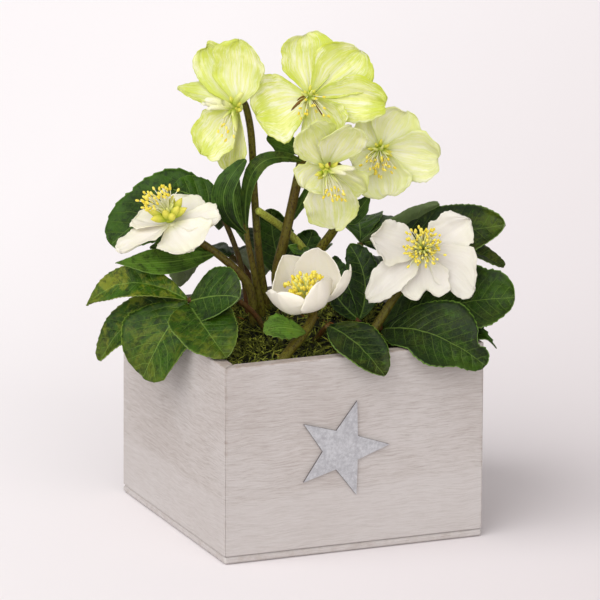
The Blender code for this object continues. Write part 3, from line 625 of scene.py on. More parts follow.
def lay_blade(base, tip, bend, face, width, share, rows, columns, cup, wave, thick,
              margin, relief, tint, stretch=None):
    """A thin blade from base to tip: a grid laid on an arched line and given thickness."""
    pick()
    bpy.ops.mesh.primitive_grid_add(x_subdivisions=columns, y_subdivisions=rows, size=2)
    blade = bpy.context.object
    mesh = blade.data
    middle = (base + tip) / 2 + bend
    control = 2 * middle - (base + tip) / 2
    length = (tip - base).length
    spread = mesh.attributes.new("spread", "FLOAT_VECTOR", "POINT")
    plan = []
    for vert, item in zip(mesh.vertices, spread.data):
        v = vert.co.x
        u = 1 - (1 - (vert.co.y + 1) / 2) ** 1.5
        spine = (1 - u) ** 2 * base + 2 * u * (1 - u) * control + u ** 2 * tip
        line = (2 * (1 - u) * (control - base) + 2 * u * (tip - control)).normalized()
        across = line.cross(face).normalized()
        out = across.cross(line)
        half = width / 2 * share(u) + margin(u, v, length)
        ripple = math.sin(u * 9 + (2 if v > 0 else 0)) * wave * v * v * u
        rise = cup * half * abs(v) ** 1.6 + ripple * length + relief(u, v, half, length)
        spot = spine + across * (half * v) + out * rise
        if stretch:
            spot += stretch(u, half * v / width * 2, length, line)
        vert.co = over_rim(spot)
        item.vector = (v, u, 0.0)
        plan.append((half * v * 1000, u * length * 1000))
    flat = mesh.uv_layers.active.data
    for loop in mesh.loops:
        flat[loop.index].uv = plan[loop.vertex_index]
    told = mesh.attributes.new("tint", "FLOAT_COLOR", "POINT")
    for item in told.data:
        item.color = tint
    upper = len(mesh.vertices)
    shell = blade.modifiers.new("thickness", "SOLIDIFY")
    shell.thickness = thick
    shell.offset = 0
    bpy.ops.object.modifier_apply(modifier=shell.name)
    for item in blade.data.attributes["spread"].data[upper:]:
        item.vector[2] = 1.0
    bpy.ops.object.shade_smooth()
    return blade


def vein_place(across, ahead):
    """How far along the side veins a point is: a whole number on each vein."""
    lean = VEIN_LEAN * abs(across) + VEIN_CURVE * across ** 2
    return (ahead - lean) / VEIN_EVERY + (0.5 if across > 0 else 0.0)


def leaf_relief(seed):
    """The sunk midrib, the quilting between the side veins, and a gentle sway."""
    def relief(u, v, half, length):
        across = half * v * 1000
        ahead = u * length * 1000
        groove = -0.0007 * math.exp(-(across / 1.2) ** 2) * (1 - 0.7 * u)
        quilt = -0.00030 * math.cos(math.tau * vein_place(across, ahead)) * min(1, abs(across) / 3)
        sway = noise.noise(Vector((u * 2.4, v * 1.4, seed * 7.7))) * 0.0036 * abs(v) ** 0.7
        dents = noise.noise(Vector((across * 0.14, ahead * 0.14, seed * 3.3))) * 0.0007
        return groove + quilt * (1 - v ** 4) + sway * u + dents * (1 - v ** 6)
    return relief


def swelling(bumps, side, u):
    """How far an edge bulges out here."""
    return sum(size * 0.001 * math.exp(-((u - middle) / breadth) ** 2)
               for edge, middle, breadth, size in bumps if edge == side)


def leaf_margin(seed, teeth, bumps):
    """The toothed edge: each tooth rises slowly and drops fast towards the tip."""
    every, deep = (size * 0.001 for size in teeth)

    def margin(u, v, length):
        side = 1 if v > 0 else -1
        wander = noise.noise(Vector((u * 4.0, side * 3.0, seed * 2.7))) * 0.0011
        plain = (wander + swelling(bumps, side, u)) * min(1, u * 4, (1 - u) * 8)
        if not 0.16 < u < 0.99:
            return plain
        place = u * length / every + (0.3 if v > 0 else 0)
        place += 0.35 * noise.noise(Vector((u * 14, side, seed)))
        saw = place - math.floor(place)
        bite = 0.75 + 0.5 * noise.noise(Vector((math.floor(place) * 0.7, side, seed + 0.5)))
        return plain + deep * bite * (saw ** 1.6 - 0.45) * max(0, (abs(v) - 0.84) / 0.16)
    return margin


def leaf_finish(name, ribbed):
    """Leaf skin. Side veins on a leaflet, ribs along the length on a bract."""
    leaf = Finish(name)
    place = leaf.place
    v, u, under = leaf.parts(leaf.carried("spread"))
    tone, yellow, blue = leaf.parts(leaf.carried("tint", "Color"), "SeparateColor")
    clear = leaf.carried("tint", "Alpha")
    across, ahead, _ = leaf.parts(leaf.step("UVMap", {}))
    side = abs(across)
    broad = leaf.mottle(place, 22, 2, 0.5)
    clouds = leaf.mottle(place, 55, 4, 0.6)
    blotch = leaf.mottle(place, 64, 6, 0.72, swirl=0.8)
    fine = leaf.mottle(place, 230, 5, 0.72)
    cells = leaf.mottle(place, 900, 3, 0.6)

    # The first tint value blends dark to bright green: the leaflet's own tone, with painted shade
    # on leaflets lying in shade.
    skin = leaf.blend(tone, LEAF_DARK, BRACT_BRIGHT if ribbed else LEAF_BRIGHT)
    skin = skin.mix(blue * 0.8, LEAF_BLUE)
    skin = skin.mix(clouds.between(0.38, 0.66, 0, 0.55), LEAF_DARK)
    skin = skin.mix(broad.between(0.50, 0.66, 0, 0.30), LEAF_BRIGHT)
    skin = skin.mix(blotch.between(0.47, 0.61) * yellow * 0.80, LEAF_YELLOWED)
    skin = skin.mix(u.between(0.72, 1.0) * yellow * 0.45, LEAF_YELLOWED)
    skin = skin.mix(fine.between(0.48, 0.64, 0, 0.62), LEAF_DARK)
    skin = skin.mix(fine.between(0.46, 0.34, 0, 0.28), LEAF_BRIGHT)

    if ribbed:
        ribs = (v + (clouds - 0.5) * 0.3) * 5.0
        veins = ribs.act("PINGPONG", 0.5).between(0.16, 0.02, 0, 0.9)
    else:
        run = (ahead - (side * VEIN_LEAN + side * side * VEIN_CURVE)) / VEIN_EVERY
        run = run + across.act("GREATER_THAN") * 0.5 + (clouds - 0.5) * 0.9
        net = leaf.step("TexVoronoi", {"Vector": place, "Scale": 330, "Randomness": 1.0},
                        "Distance", feature="DISTANCE_TO_EDGE")
        veins = run.act("PINGPONG", 0.5).between(0.07, 0.01, 0, 0.9)
        veins = veins.act("MAXIMUM", net.between(0.08, 0.0, 0, 0.35))
    veins = veins * abs(v).between(0.45, 0.95, 1.0, 0.15)
    rib = (side / ((u - 1.35) * -0.50)).between(1.1, 0.45)
    lines = (veins * clear).act("MAXIMUM", rib * (clear + 0.25))
    skin = skin.mix(lines, skin.mix(0.55, VEIN_GREEN))
    edge = (abs(v) + (cells - 0.5) * 0.08).between(0.958, 0.992, 0, 0.8)
    skin = skin.mix(edge, leaf.blend(yellow * 0.7, LEAF_EDGE, LEAF_EDGE_YELLOWED))
    skin = skin.mix(under, skin.mix(0.70, LEAF_UNDER))
    rough = clouds.between(0.35, 0.65, 0.30, 0.48) + cells * 0.10
    relief = cells * 0.5 - veins + fine * 0.8
    return leaf.dress(skin, rough, 0.18, relief, 0.6, 0.0005, glow=0.10)


def stem_finish(name, base, edge, speck):
    """Smooth stem skin, finely speckled, redder in broad patches."""
    stem = Finish(name)
    broad = stem.mottle(stem.place, 45, 3, 0.5)
    marks = stem.mottle(stem.place, 320, 4, 0.7, stretch=(1, 1, 0.22))
    specks = stem.mottle(stem.place, 1000, 3, 0.7, stretch=(1, 1, 0.55))
    skin = stem.blend(broad.between(0.40, 0.65, 0, 0.6), base, edge)
    skin = skin.mix(marks.between(0.52, 0.72, 0, 0.50), edge)
    skin = skin.mix(specks.between(0.50, 0.60, 0, 0.75), speck)
    return stem.dress(skin, marks.between(0.3, 0.7, 0.42, 0.6), 0.2, marks, 0.5, 0.0003)


def rounded(points, share):
    """A place on the smooth curve through all the points, at a share of its length."""
    last = len(points) - 1
    leg = min(int(share * last), last - 1)
    t = share * last - leg
    before = points[max(leg - 1, 0)]
    start = points[leg]
    end = points[leg + 1]
    after = points[min(leg + 2, last)]
    return 0.5 * (2 * start + (end - before) * t
                  + (2 * before - 5 * start + 4 * end - after) * t ** 2
                  + (3 * start - before - 3 * end + after) * t ** 3)


def shaped(body, put):
    """Move the points of a ball to where they go."""
    for vert in body.data.vertices:
        vert.co = put(vert.co)[0]


def lay_stem(points, thick, thin, swollen=0.0):
    """A round stem along the route, a little ridged and swollen where it forks."""
    def radius(share):
        plain = thick + (thin - thick) * share
        return plain * (1 + swollen * max(0, (share - 0.86) / 0.14) ** 2
                        + 0.05 * noise.noise(Vector((share * 9, thick * 9000, 0))))

    body = round_shape(14, 46)
    shaped(body, along(lambda share: rounded(points, share), radius))
    smoothed()
    return body


def leaflet(seed, base, tip, bend, face, width, tint, own=(), ribbed=False):
    """A leaflet of a leaf, or a ribbed bract of a stalk."""
    own = {"point": LEAF_POINT, "teeth": BRACT_TEETH if ribbed else TEETH, "bumps": (),
           **dict(own)}
    rows, columns = (88, 18) if width >= LARGE_LEAFLET else (54, 12)

    def ribs(u, v, half, length):
        sway = noise.noise(Vector((u * 3, v, seed * 4.1))) * 0.0016 * abs(v) * u
        return 0.00016 * math.cos(v * 5 * math.tau) * (1 - v ** 4) + sway

    return lay_blade(seen(*base), seen(*tip), seen(*bend), pointing(*face), width * 0.001,
                     lambda u: leaf_share(u, own["point"]), rows=rows, columns=columns,
                     cup=LEAF_CUP, wave=LEAF_WAVE, thick=LEAF_THICK,
                     margin=leaf_margin(seed, own["teeth"], own["bumps"]),
                     relief=ribs if ribbed else leaf_relief(seed),
                     tint=(*tint, 0.30 if ribbed else 0.4)[:4])


leaf_skin = leaf_finish("leaf_green", False)
petiole_skin = stem_finish("petiole", (86, 76, 30), (98, 40, 26), (54, 28, 16))
for seed, (name, (route, leaflets)) in enumerate(LEAVES.items()):
    blades = [leaflet(seed * 10 + number, *row) for number, row in enumerate(leaflets)]
    as_piece(name + "_blades", blades, leaf_skin, "leaf_green", name)
    petiole = lay_stem([seen(*point) for point in route], PETIOLE_RADIUS,
                       PETIOLE_RADIUS * 0.95, swollen=0.35)
    as_piece(name + "_petiole", [petiole], petiole_skin, "stalk_olive", name)

# Stalks
# Stout olive flower stalks, speckled brown, that rise from the crown and bend over at the
# back of each flower. Narrow bracts with ribs along them grow where a stalk forks.
FLOWER_BACK = 0.0032
FLOWER_NECK = 0.0050
# Where each flower is and looks, how strongly it is blotched with yellow-green, and its
# sepals. A sepal is its place on the clock in degrees, its reach, its width and how far it
# lifts forwards in mm, and how far it is rolled. Then may come a cleft in its end, as a share
# of its length, how far the end droops in mm, and the bumps of its edge, as on the leaves.
FLOWERS = {
    "flower_green_left": dict(
        centre=(-38, -3, 244), look=(-0.50, -0.80, 0.00), blotched=0.80,
        sepals=[(324, 42, 26, -3, 8, 0.05), (4, 41, 34, 3, 8), (284, 34, 20, 11, 70),
                (217, 36, 29, 5, 8, 0.0, 2), (190, 43, 22, -5, 8)]),
    "flower_green_top": dict(
        centre=(4, -6, 251), look=(-0.10, -0.95, 0.15), blotched=0.85,
        sepals=[(355, 38, 32, 1, 8, 0.07),
                (46, 41, 34, 2, 8, 0.04, 0, [(-1, 0.80, 0.10, 1.5), (1, 0.78, 0.12, 1.5)]),
                (89, 46, 27, 3, 8, 0.06, 3), (146, 26, 30, 0, 8), (250, 34, 40, 3, 8, 0.05)]),
    "flower_green_middle": dict(
        centre=(13, -32, 216), look=(0.20, -0.85, -0.35), blotched=0.50,
        sepals=[(338, 38, 27, 4, 8, 0.10), (22, 34, 30, 5, 8, 0.05), (122, 29, 21, 3, 8),
                (168, 43, 29, 2, 8), (230, 17, 26, 4, 8)]),
    "flower_green_right": dict(
        centre=(44, 2, 218), look=(0.00, -0.92, 0.05), blotched=0.38,
        sepals=[(334, 22, 24, 2, 8), (34, 29, 31, 2, 8, 0.08), (98, 36, 31, 2, 8, 0.06),
                (170, 29, 33, 2, 8, 0.09), (240, 18, 22, 2, 8)]),
    "flower_white_left": dict(
        centre=(-76, -10, 177), look=(-0.25, -0.25, 0.93), blotched=0.20,
        sepals=[(28, 27, 28, 2, 8), (104, 31, 23, 2, 8, 0.0, 2), (160, 36, 33, -2, 8, 0.04, 2),
                (240, 36, 29, 0, 8), (300, 25, 25, 2, 8)]),
    "flower_white_cup": dict(
        centre=(4, -50, 139), look=(-0.24, -0.26, 0.92), blotched=0.12,
        sepals=[(336, 20, 31, 25, 6), (38, 20, 32, 27, 6), (94, 29, 18, 20, -32, 0.12),
                (136, 16, 31, 21, 6), (228, 20, 38, 20, 6, 0.0, 0, [(-1, 0.62, 0.26, -5.5)])]),
    "flower_white_right": dict(
        centre=(69, -25, 164), look=(0.02, -0.85, 0.50), blotched=0.12,
        sepals=[(284, 29, 27, 6, 8, -0.06), (53, 33, 24, 5, 8, -0.05, 2),
                (113, 36, 29, 1, 8, 0.0, 10, [(1, 0.50, 0.14, -2.0)]), (174, 29, 31, -2, 8, 0.24),
                (230, 40, 21, 0, 8, -0.05, 2)]),
}
# A stalk's radii are at its foot and its head. Bracts are given as the leaflets are.
STALKS = {
    "stalk_green_left": dict(
        route=[(-20, 13, 91), (-20, 13, 116), (-25, 9, 150), (-28, 7, 190), (-30, 7, 225)],
        radii=(2.6, 1.9), flower="flower_green_left"),
    "stalk_leafy": dict(
        route=[(-23, 2, 91), (-23, 2, 116), (-27, 0, 140), (-32, -1, 166), (-34, -1, 186)],
        radii=(3.0, 1.2),
        bracts=[((-32, -1, 168), (-33, -7, 214), (-13, -8, 0), (-0.6, -0.7, 0.1), 17,
                 (0.40, 0.0, 0.45)),
                ((-32, -1, 167), (-1, 2, 211), (-11, -7, 19), (-0.4, -0.8, 0.4), 10,
                 (0.45, 0.2, 0.2)),
                ((-31, -1, 160), (-41, 12, 206), (-3, 2, 2), (-0.5, -0.8, 0.2), 13,
                 (0.80, 0.1, 0.1))]),
    "stalk_green_top": dict(
        route=[(-9, 7, 91), (-9, 7, 116), (-15, 7, 140), (-9, 6, 170), (0, 10, 213), (5, 10, 236)],
        radii=(3.4, 2.4), flower="flower_green_top",
        bracts=[((0, 10, 213), (-21, 13, 221), (-1, 1, 3), (-0.2, -0.9, -0.3), 15,
                 (0.85, 0.1, 0.0)),
                ((-9, 6, 172), (5, 13, 198), (1, 1, -1), (0.6, -0.7, 0.2), 7, (0.55, 0.0, 0.1))]),
    "stalk_green_pair": dict(
        route=[(1, 5, 91), (1, 5, 120), (4, 4, 142), (10, 3, 158), (20, -2, 176), (24, -8, 205)],
        radii=(3.2, 2.2), flower="flower_green_middle",
        branch=[(17, 0, 170), (27, 7, 187), (40, 13, 206)],
        branch_flower="flower_green_right",
        bracts=[((20, -2, 176), (38, 4, 190), (1, 1, -3), (0.1, -0.8, 0.5), 11, (0.50, 0.0, 0.1))]),
    "stalk_white_left": dict(
        route=[(-28, -8, 91), (-28, -8, 112), (-30, -7, 136), (-40, -7, 150), (-60, -6, 165)],
        radii=(2.8, 2.0), flower="flower_white_left",
        bracts=[((-50, -7, 158), (-107, -37, 160), (0, -2, -2), (0.0, -0.70, 0.70), 17,
                 (0.80, 0.1, 0.0), dict(point=0.9)),
                ((-52, -6, 159), (-88, -6, 161), (0, 0, 2), (0.1, -0.3, 0.9), 14,
                 (0.55, 0.0, 0.1))]),
    "stalk_white_cup": dict(
        route=[(-12, -70, 91), (-12, -70, 108), (-7, -64, 116), (0, -57, 123)],
        radii=(3.3, 2.6), flower="flower_white_cup",
        bracts=[((2, -58, 125), (-22, -70, 129), (-1, -3, 3), (0.1, -0.6, 0.8), 18, (1.0, 0.2, 0.0),
                 dict(teeth=(4.5, 2.2)))]),
    "stalk_white_right": dict(
        route=[(30, -30, 91), (30, -30, 108), (40, -31, 118), (54, -22, 138), (66, -17, 152)],
        radii=(2.8, 2.1), flower="flower_white_right"),
    "young_shoot": dict(
        route=[(10, 23, 91), (10, 23, 116), (8, 20, 138), (1, 17, 154), (-11, 13, 168),
               (-27, -1, 183)],
        radii=(2.4, 2.2),
        bracts=[((0, 16, 156), (-8, -4, 162), (4, -3, -2), (-0.4, -0.7, 0.6), 8,
                 (0.75, 0.0, 0.0))]),
}


def flower_axes(look):
    """Where a flower looks, and the way outwards on its face at an angle from its top."""
    front = pointing(*look)
    upright = Vector((0, 0, 1)) if front.z < 0.8 else pointing(0, 1, 0)
    up = (upright - front * upright.dot(front)).normalized()
    right = up.cross(front)
    return front, lambda angle: up * math.cos(angle) + right * math.sin(angle)


def to_flower(route, flower_name):
    """The route's points, carried on straight into the back of the flower."""
    points = [seen(*point) for point in route]
    if flower_name:
        flower = FLOWERS[flower_name]
        front = flower_axes(flower["look"])[0]
        end = seen(*flower["centre"]) - front * FLOWER_BACK
        points += [end - front * FLOWER_NECK, end]
    return points


stalk_skin = stem_finish("stalk_olive", (96, 92, 26), (82, 60, 20), (50, 32, 10))
shoot_skin = stem_finish("young_shoot", (166, 174, 70), (138, 140, 54), (112, 98, 40))
bract_skin = leaf_finish("bract_green", True)
for seed, (name, stalk) in enumerate(STALKS.items()):
    thick, thin = (radius * 0.001 for radius in stalk["radii"])
    stems = [lay_stem(to_flower(stalk["route"], stalk.get("flower")), thick, thin)]
    if "branch" in stalk:
        stems.append(lay_stem(to_flower(stalk["branch"], stalk["branch_flower"]), thin, thin))
    skin = shoot_skin if name == "young_shoot" else stalk_skin
    as_piece(name + "_stem", stems, skin, "stalk_olive", name)
    bracts = [leaflet(200 + seed * 10 + number, *row, ribbed=True)
              for number, row in enumerate(stalk.get("bracts", ()))]
    if bracts:
        as_piece(name + "_bracts", bracts, bract_skin, "leaf_green", name)

# Sepals
# Each flower has five broad sepals, soft and thin enough for light to come through: pale
# yellow-green on the tall flowers, creamy white on the low ones, with streaks along them.
SEPAL_THICK = 0.00045
SEPAL_CUP = 0.22
CUPPED_CUP = 0.42
SEPAL_WAVE = 0.010
SEPAL_ROOT = 0.0012
CUPPED_LIFT = 12
DISC_RADIUS = 0.0034
DISC_SINKS = 0.0006
DISC_FLAT = 0.42
CREAM = ("flower_white_cup", "flower_white_left")


def sepal_share(u):
    """Half width of a sepal: broad beyond the middle, with a full round end."""
    broad = 0.60
    if u < broad:
        return 0.10 + 0.90 * math.sin(math.pi / 2 * u / broad)
    return 0.02 + 0.98 * math.sqrt(max(0, 1 - ((u - broad) / (1 - broad)) ** 2.2))


def sepal_margin(seed, calm, bumps):
    """A soft uneven edge without teeth."""
    def margin(u, v, length):
        side = 1 if v > 0 else -1
        uneven = noise.noise(Vector((u * 4.0, side * 3.0, seed * 3.1))) * 0.0034 * calm
        nicks = noise.noise(Vector((u * 20.0, side * 3.0, seed * 5.3))) * 0.0008
        swell = swelling(bumps, side, u)
        return (uneven + nicks + swell) * min(1, u * 2.5, (1 - u) * 6)
    return margin


def sepal_relief(seed, calm):
    """A sunk midline, creases, and an edge that sways and frills."""
    def relief(u, v, half, length):
        sway = noise.noise(Vector((u * 2.4, v * 1.5, seed * 7.7))) * 0.0034
        frill = noise.noise(Vector((u * 9.0, v * 1.0, seed * 2.3))) * 0.0018 * abs(v) ** 3
        creases = noise.noise(Vector((u * 3.0, v * 6.0, seed * 1.9))) * 0.0007
        fold = -0.0005 * math.exp(-(v / 0.10) ** 2) * (1 - 0.6 * u)
        return ((sway * abs(v) ** 0.8 + frill + creases) * u + fold) * calm
    return relief


def sepal_end(seed, cleft, droop):
    """A ragged end, which may be cleft or droop."""
    def end(u, x, length, line):
        far = max(0, (u - 0.55) / 0.45) ** 1.5
        notch = cleft * math.exp(-(x / 0.26) ** 2)
        ragged = 0.06 * noise.noise(Vector((x * 2.2, seed * 4.7, 0.3)))
        ragged += 0.025 * noise.noise(Vector((x * 7.0, seed * 1.7, 0.9)))
        down = Vector((0, 0, -1)) - line * 0.35
        return line * length * far * (ragged - notch) + down * droop * 0.001 * far
    return end


def sepal_finish(name, pale, full, base, blotch, back_skin, ribbing):
    """Petal skin: pale, streaked from the base outwards, with stronger blotches."""
    petal = Finish(name)
    v, u, under = petal.parts(petal.carried("spread"))
    own, amount, _ = petal.parts(petal.carried("tint", "Color"), "SeparateColor")
    fan = petal.step("CombineXYZ", {0: v * 7.0, 1: u * 1.3, 2: own * 31.0})
    streaks = petal.mottle(fan, 1.6, 5, 0.65)
    fine = petal.mottle(fan, 6.0, 3, 0.6)
    clouds = petal.mottle(petal.place, 60, 4, 0.62)
    filled = streaks.between(0.36, 0.60) * (amount * 0.7 + 0.3)
    skin = petal.blend(filled, pale, full)
    far = abs(v).between(0.20, 0.90).act("MAXIMUM", u.between(0.32, 0.90))
    patch = (fine * 0.35 + clouds * 0.65).between(0.40, 0.58) * far
    skin = skin.mix(patch * amount, blotch)
    skin = skin.mix(fine.between(0.60, 0.68, 0, 0.35) * amount, blotch)
    skin = skin.mix(u.between(0.24, 0.04, 0, 0.85), base)
    skin = skin.mix(abs(v).between(0.95, 1.0, 0, 0.5) * amount, blotch)
    skin = skin.mix(under * 0.5, back_skin)
    petal.shader.inputs["Sheen Weight"].default_value = 0.06
    return petal.dress(skin, 0.55, 0.25, streaks + fine * 0.6, ribbing, 0.0006, glow=0.30)


def ball_at(middle, line, radius, stretch):
    """Put the round shape at a place, drawn out along a line."""
    turn = line.to_track_quat("Z", "Y").to_matrix()

    def put(point):
        local = Vector((point.x * radius, point.y * radius, point.z * radius * stretch))
        return middle + turn @ local, (point.z + 1) / 2
    return put


sepal_skins = {
    "green": sepal_finish("sepal_green", (251, 250, 230), (241, 243, 152), (228, 236, 134),
                          (208, 220, 54), (232, 238, 146), 0.6),
    "white": sepal_finish("sepal_white", (238, 234, 228), (231, 225, 217), (226, 234, 142),
                          (222, 228, 150), (236, 231, 218), 0.25),
    "cream": sepal_finish("sepal_cream", (250, 246, 240), (248, 242, 232), (242, 238, 196),
                          (222, 228, 130), (252, 246, 234), 0.25),
}
for seed, (name, flower) in enumerate(FLOWERS.items()):
    front, around = flower_axes(flower["look"])
    centre = seen(*flower["centre"])
    disc = round_shape(16, 8)
    shaped(disc, ball_at(centre - front * DISC_SINKS, front, DISC_RADIUS, DISC_FLAT))
    bpy.ops.object.shade_smooth()
    petals = [disc]
    for number, (clock, reach, width, lift, roll, *end) in enumerate(flower["sepals"]):
        cleft, droop, bumps = (*end, *(0.0, 0, ())[len(end):])
        outward = around(math.radians(clock))
        base = centre + outward * SEPAL_ROOT - front * 0.0004
        tip = centre + outward * reach * 0.001 + front * lift * 0.001
        facing = Matrix.Rotation(math.radians(roll), 3, outward) @ front
        cup, calm = SEPAL_CUP, 1.0
        sag = front * -(1.0 + 0.22 * max(lift, 0)) * 0.001
        if lift > CUPPED_LIFT:
            cup, calm = CUPPED_CUP, 0.4
            sag = outward * 0.25 * lift * 0.001 - front * 0.30 * lift * 0.001
            facing = (facing - outward * 0.8).normalized()
        own = seed * 5 + number + 1
        petals.append(lay_blade(base, tip, sag, facing, width * 0.001, sepal_share, rows=40,
                                columns=28, cup=cup, wave=SEPAL_WAVE, thick=SEPAL_THICK,
                                margin=sepal_margin(own, calm, bumps),
                                relief=sepal_relief(own, calm),
                                tint=(own * 0.137 % 1, flower["blotched"], 0.0, 0.0),
                                stretch=sepal_end(own, cleft, droop)))
    hue = name.split("_")[1]
    skin = sepal_skins["cream" if name in CREAM else hue]
    as_piece(name + "_petals", petals, skin, "sepal_" + hue, name + "_sepals")

# Hearts
# The heart of each flower: a ring of small yellow-green nectar cups, seed pods with curved
# styles in the middle, and many thin cream filaments with yellow anthers.
HEART_FORWARD = 0.0042
HEART_RADIUS = 0.0034
HEART_FLAT = 0.8
THREAD_RADIUS = 0.00024
ANTHER_LONG = 1.7
GOLDEN_TURN = 0.618
# stamens: how many, their least and greatest length in mm, how far they spread, and their
# anthers' size in mm; leans is the way they lean in the plant's axes. cups: how many, how
# long and wide, and how far they point up. pods: how many, how long and how thick. straps
# are broad petal-like stamens, each with its way, length, width, and what it is like.
HEARTS = {
    "flower_green_left": dict(
        stamens=(9, 9, 19, 0.30, 0.75), leans=(-0.15, 0, -1.8), cups=(7, 6.0, 2.6, 0.1),
        pods=(4, 8, 1.0),
        straps=[(-1.0, -0.25, 0.34, 19, 4.6, "fresh"), (-1.0, -0.15, 0.16, 20, 4.4, "fresh"),
                (-1.0, -0.30, 0.02, 17, 3.8, "fresh"), (0.42, -0.55, 0.85, 14, 3.8, "green"),
                (0.10, -0.50, -0.95, 15, 3.2, "green")]),
    "flower_green_top": dict(
        stamens=(16, 7, 15, 0.75, 0.75), leans=(0.30, 0, -0.9), cups=(9, 5.0, 2.2, 0.3),
        pods=(5, 8, 1.1),
        straps=[(-1.0, -0.5, -0.62, 14, 1.9, "withered"), (0.75, -0.5, -1.0, 14, 1.5, "withered"),
                (-0.7, -0.6, -0.05, 10, 1.2, "withered")]),
    "flower_green_middle": dict(
        stamens=(20, 11, 19, 0.42, 0.75), leans=(0.45, 0, -1.35), cups=(8, 7.0, 3.0, 0.2),
        pods=(4, 8, 1.0),
        straps=[(1.0, -0.2, 0.12, 17, 4.2, "fresh"), (0.8, -0.3, -0.1, 12, 3.4, "fresh"),
                (0.20, -0.6, 0.8, 8, 1.8, "withered")]),
    "flower_green_right": dict(
        stamens=(34, 7, 15, 0.60, 0.75), leans=(-0.05, 0, -0.9), cups=(17, 7.0, 2.3, -0.7),
        pods=(5, 8, 1.2)),
    "flower_white_left": dict(
        stamens=(56, 12, 20, 1.00, 0.78), leans=(-0.85, 0.2, 0.50), cups=(13, 12.0, 4.8, 0.55),
        pods=(7, 9, 1.9)),
    "flower_white_cup": dict(
        stamens=(84, 9, 15, 0.95, 1.05), leans=(-0.05, 0.1, 0.35), cups=(9, 8.0, 3.2, 0.7),
        pods=(6, 15, 1.7)),
    "flower_white_right": dict(
        stamens=(120, 7, 14, 1.00, 0.78), leans=(-0.05, 0, 0.1), cups=(14, 5.5, 2.4, 0.0),
        pods=(9, 13, 0.9)),
}
THREAD, ANTHER, CUP, POD, STRAP, WITHERED = 0.0, 0.2, 0.4, 0.6, 0.8, 1.0
STRAP_KINDS = {"fresh": STRAP, "green": POD, "withered": WITHERED}
# Each kind's colour at its foot, or in shade, and at its end, or in light
THREAD_COLOURS = ((224, 226, 150), (248, 246, 228))
ANTHER_COLOURS = ((242, 220, 58), (252, 240, 118))
CUP_COLOURS = ((164, 190, 40), (232, 224, 96))
POD_COLOURS = ((186, 204, 74), (232, 234, 150))
STRAP_COLOURS = ((226, 230, 130), (248, 246, 222))
WITHERED_COLOURS = ((170, 128, 48), (84, 44, 18))
POLLEN_DUST = (176, 150, 50)


def hump(share):
    """Nothing at both ends and most in the middle."""
    return math.sin(math.pi * share)


def heart_finish():
    heart = Finish("flower_heart")
    organ, tone, share = heart.parts(heart.carried("organ"))
    skin = heart.blend(share, *THREAD_COLOURS)
    for kind, along_it, colours in ((ANTHER, tone, ANTHER_COLOURS),
                                    (CUP, share.between(0.1, 0.9), CUP_COLOURS),
                                    (POD, share.between(0.2, 0.9), POD_COLOURS),
                                    (STRAP, share, STRAP_COLOURS),
                                    (WITHERED, share, WITHERED_COLOURS)):
        is_kind = organ.act("GREATER_THAN", kind - 0.1)
        skin = skin.mix(is_kind, heart.blend(along_it, *colours))
    grain = heart.mottle(heart.place, 1800, 2, 0.6)
    skin = skin.mix(grain.between(0.45, 0.7, 0, 0.18), POLLEN_DUST)
    return heart.dress(skin, 0.6, 0.3, grain, 0.3, 0.0002, glow=0.2)


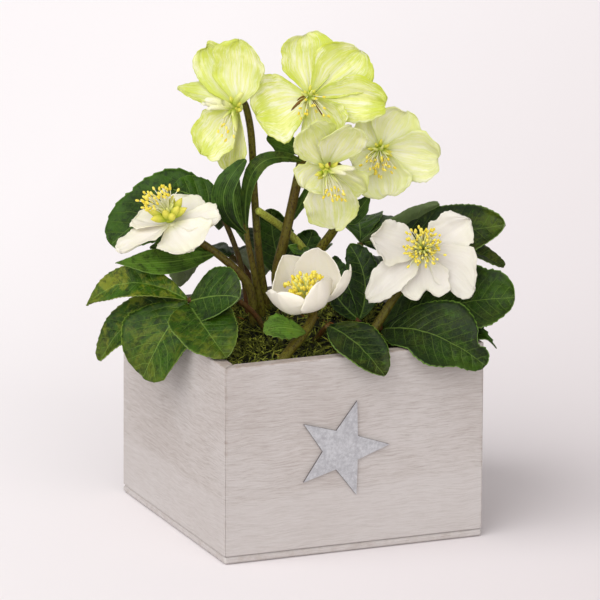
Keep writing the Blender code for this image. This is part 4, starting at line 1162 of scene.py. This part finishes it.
heart_skin = heart_finish()
thread_shape = round_shape(5, 8)
anther_shape = round_shape(7, 5)
cup_shape = round_shape(10, 9)
for seed, (name, heart) in enumerate(HEARTS.items()):
    flower = FLOWERS[name]
    front, around = flower_axes(flower["look"])
    core = seen(*flower["centre"]) + front * HEART_FORWARD
    draw = random.Random(100 + seed)
    foot = core - front * 0.001
    organs = [laid(cup_shape, ball_at(foot, front, HEART_RADIUS, HEART_FLAT), CUP, 0.5)]

    count, long, wide, upward = heart["cups"]
    for number in range(count):
        outward = around(math.tau * (number + draw.uniform(-0.25, 0.25)) / count)
        foot = core + outward * 0.0020 - front * 0.0014
        way = outward + front * draw.uniform(0.15, 0.85)
        way += Vector((0, 0, upward * (1.6 if number % 2 else 0.4)))
        lip = foot + way.normalized() * long * 0.001 * draw.uniform(0.75, 1.15)
        line = along(lambda share: foot + (lip - foot) * share
                     + front * 0.0008 * hump(share),
                     lambda share: wide * 0.0005 * (0.30 * (1 - share) + 0.85 * hump(share)))
        organs.append(laid(cup_shape, line, CUP, draw.random()))

    count, long, wide = heart["pods"]
    for number in range(count):
        outward = around(math.tau * (number + 0.3) / count)
        foot = core + outward * 0.0011
        lip = foot + front * long * 0.001 + outward * 0.0022
        line = along(lambda share: foot + (lip - foot) * share + outward * 0.0024 * share ** 3,
                     lambda share: wide * 0.001 * (1 - share ** 1.6) + 0.00026)
        organs.append(laid(cup_shape, line, POD, draw.random()))

    foot = core - front * 0.001
    crook = seen(0, 0, 1.6) + front * 0.0015
    for *way, long, wide, like in heart.get("straps", ()):
        way = pointing(*way)
        line = along(lambda share: foot + way * long * 0.001 * share + crook * hump(share),
                     lambda share: wide * 0.0005
                     * (0.35 + 0.65 * hump(min(1, 0.15 + share * 0.8))))
        organs.append(laid(cup_shape, line, STRAP_KINDS[like], draw.random()))

    count, low, high, spread, anther = heart["stamens"]
    leans = seen(*heart["leans"]) * 1000
    for number in range(count):
        outward = around(math.tau * number * GOLDEN_TURN)
        open_out = math.sqrt((number + 0.5) / count)
        length = draw.uniform(low, high) * 0.001
        way = (front * (1.15 - 0.55 * open_out) + outward * (0.15 + 0.85 * open_out) * spread
               + leans * 0.8 + Vector([draw.gauss(0, 0.12) for _ in range(3)])).normalized()
        foot = core + outward * 0.0016 * open_out
        head = foot + way * length
        bow = front * 0.5 + Vector((0, 0, 0.2)) + outward * draw.uniform(-0.3, 0.3)
        bow = bow * length * 0.18
        line = along(lambda share: foot + (head - foot) * share + bow * hump(share),
                     lambda share: THREAD_RADIUS)
        organs.append(laid(thread_shape, line, THREAD, draw.random()))
        turned = (way + outward * draw.uniform(-0.8, 0.8)).normalized()
        pollen_sac = ball_at(head, turned, anther * 0.001, ANTHER_LONG)
        organs.append(laid(anther_shape, pollen_sac, ANTHER, draw.random()))
    as_piece(name + "_heart", organs, heart_skin, "stamen_yellow", name + "_centre",
             smooth=True)
for shape in (thread_shape, anther_shape, cup_shape):
    bpy.data.objects.remove(shape)
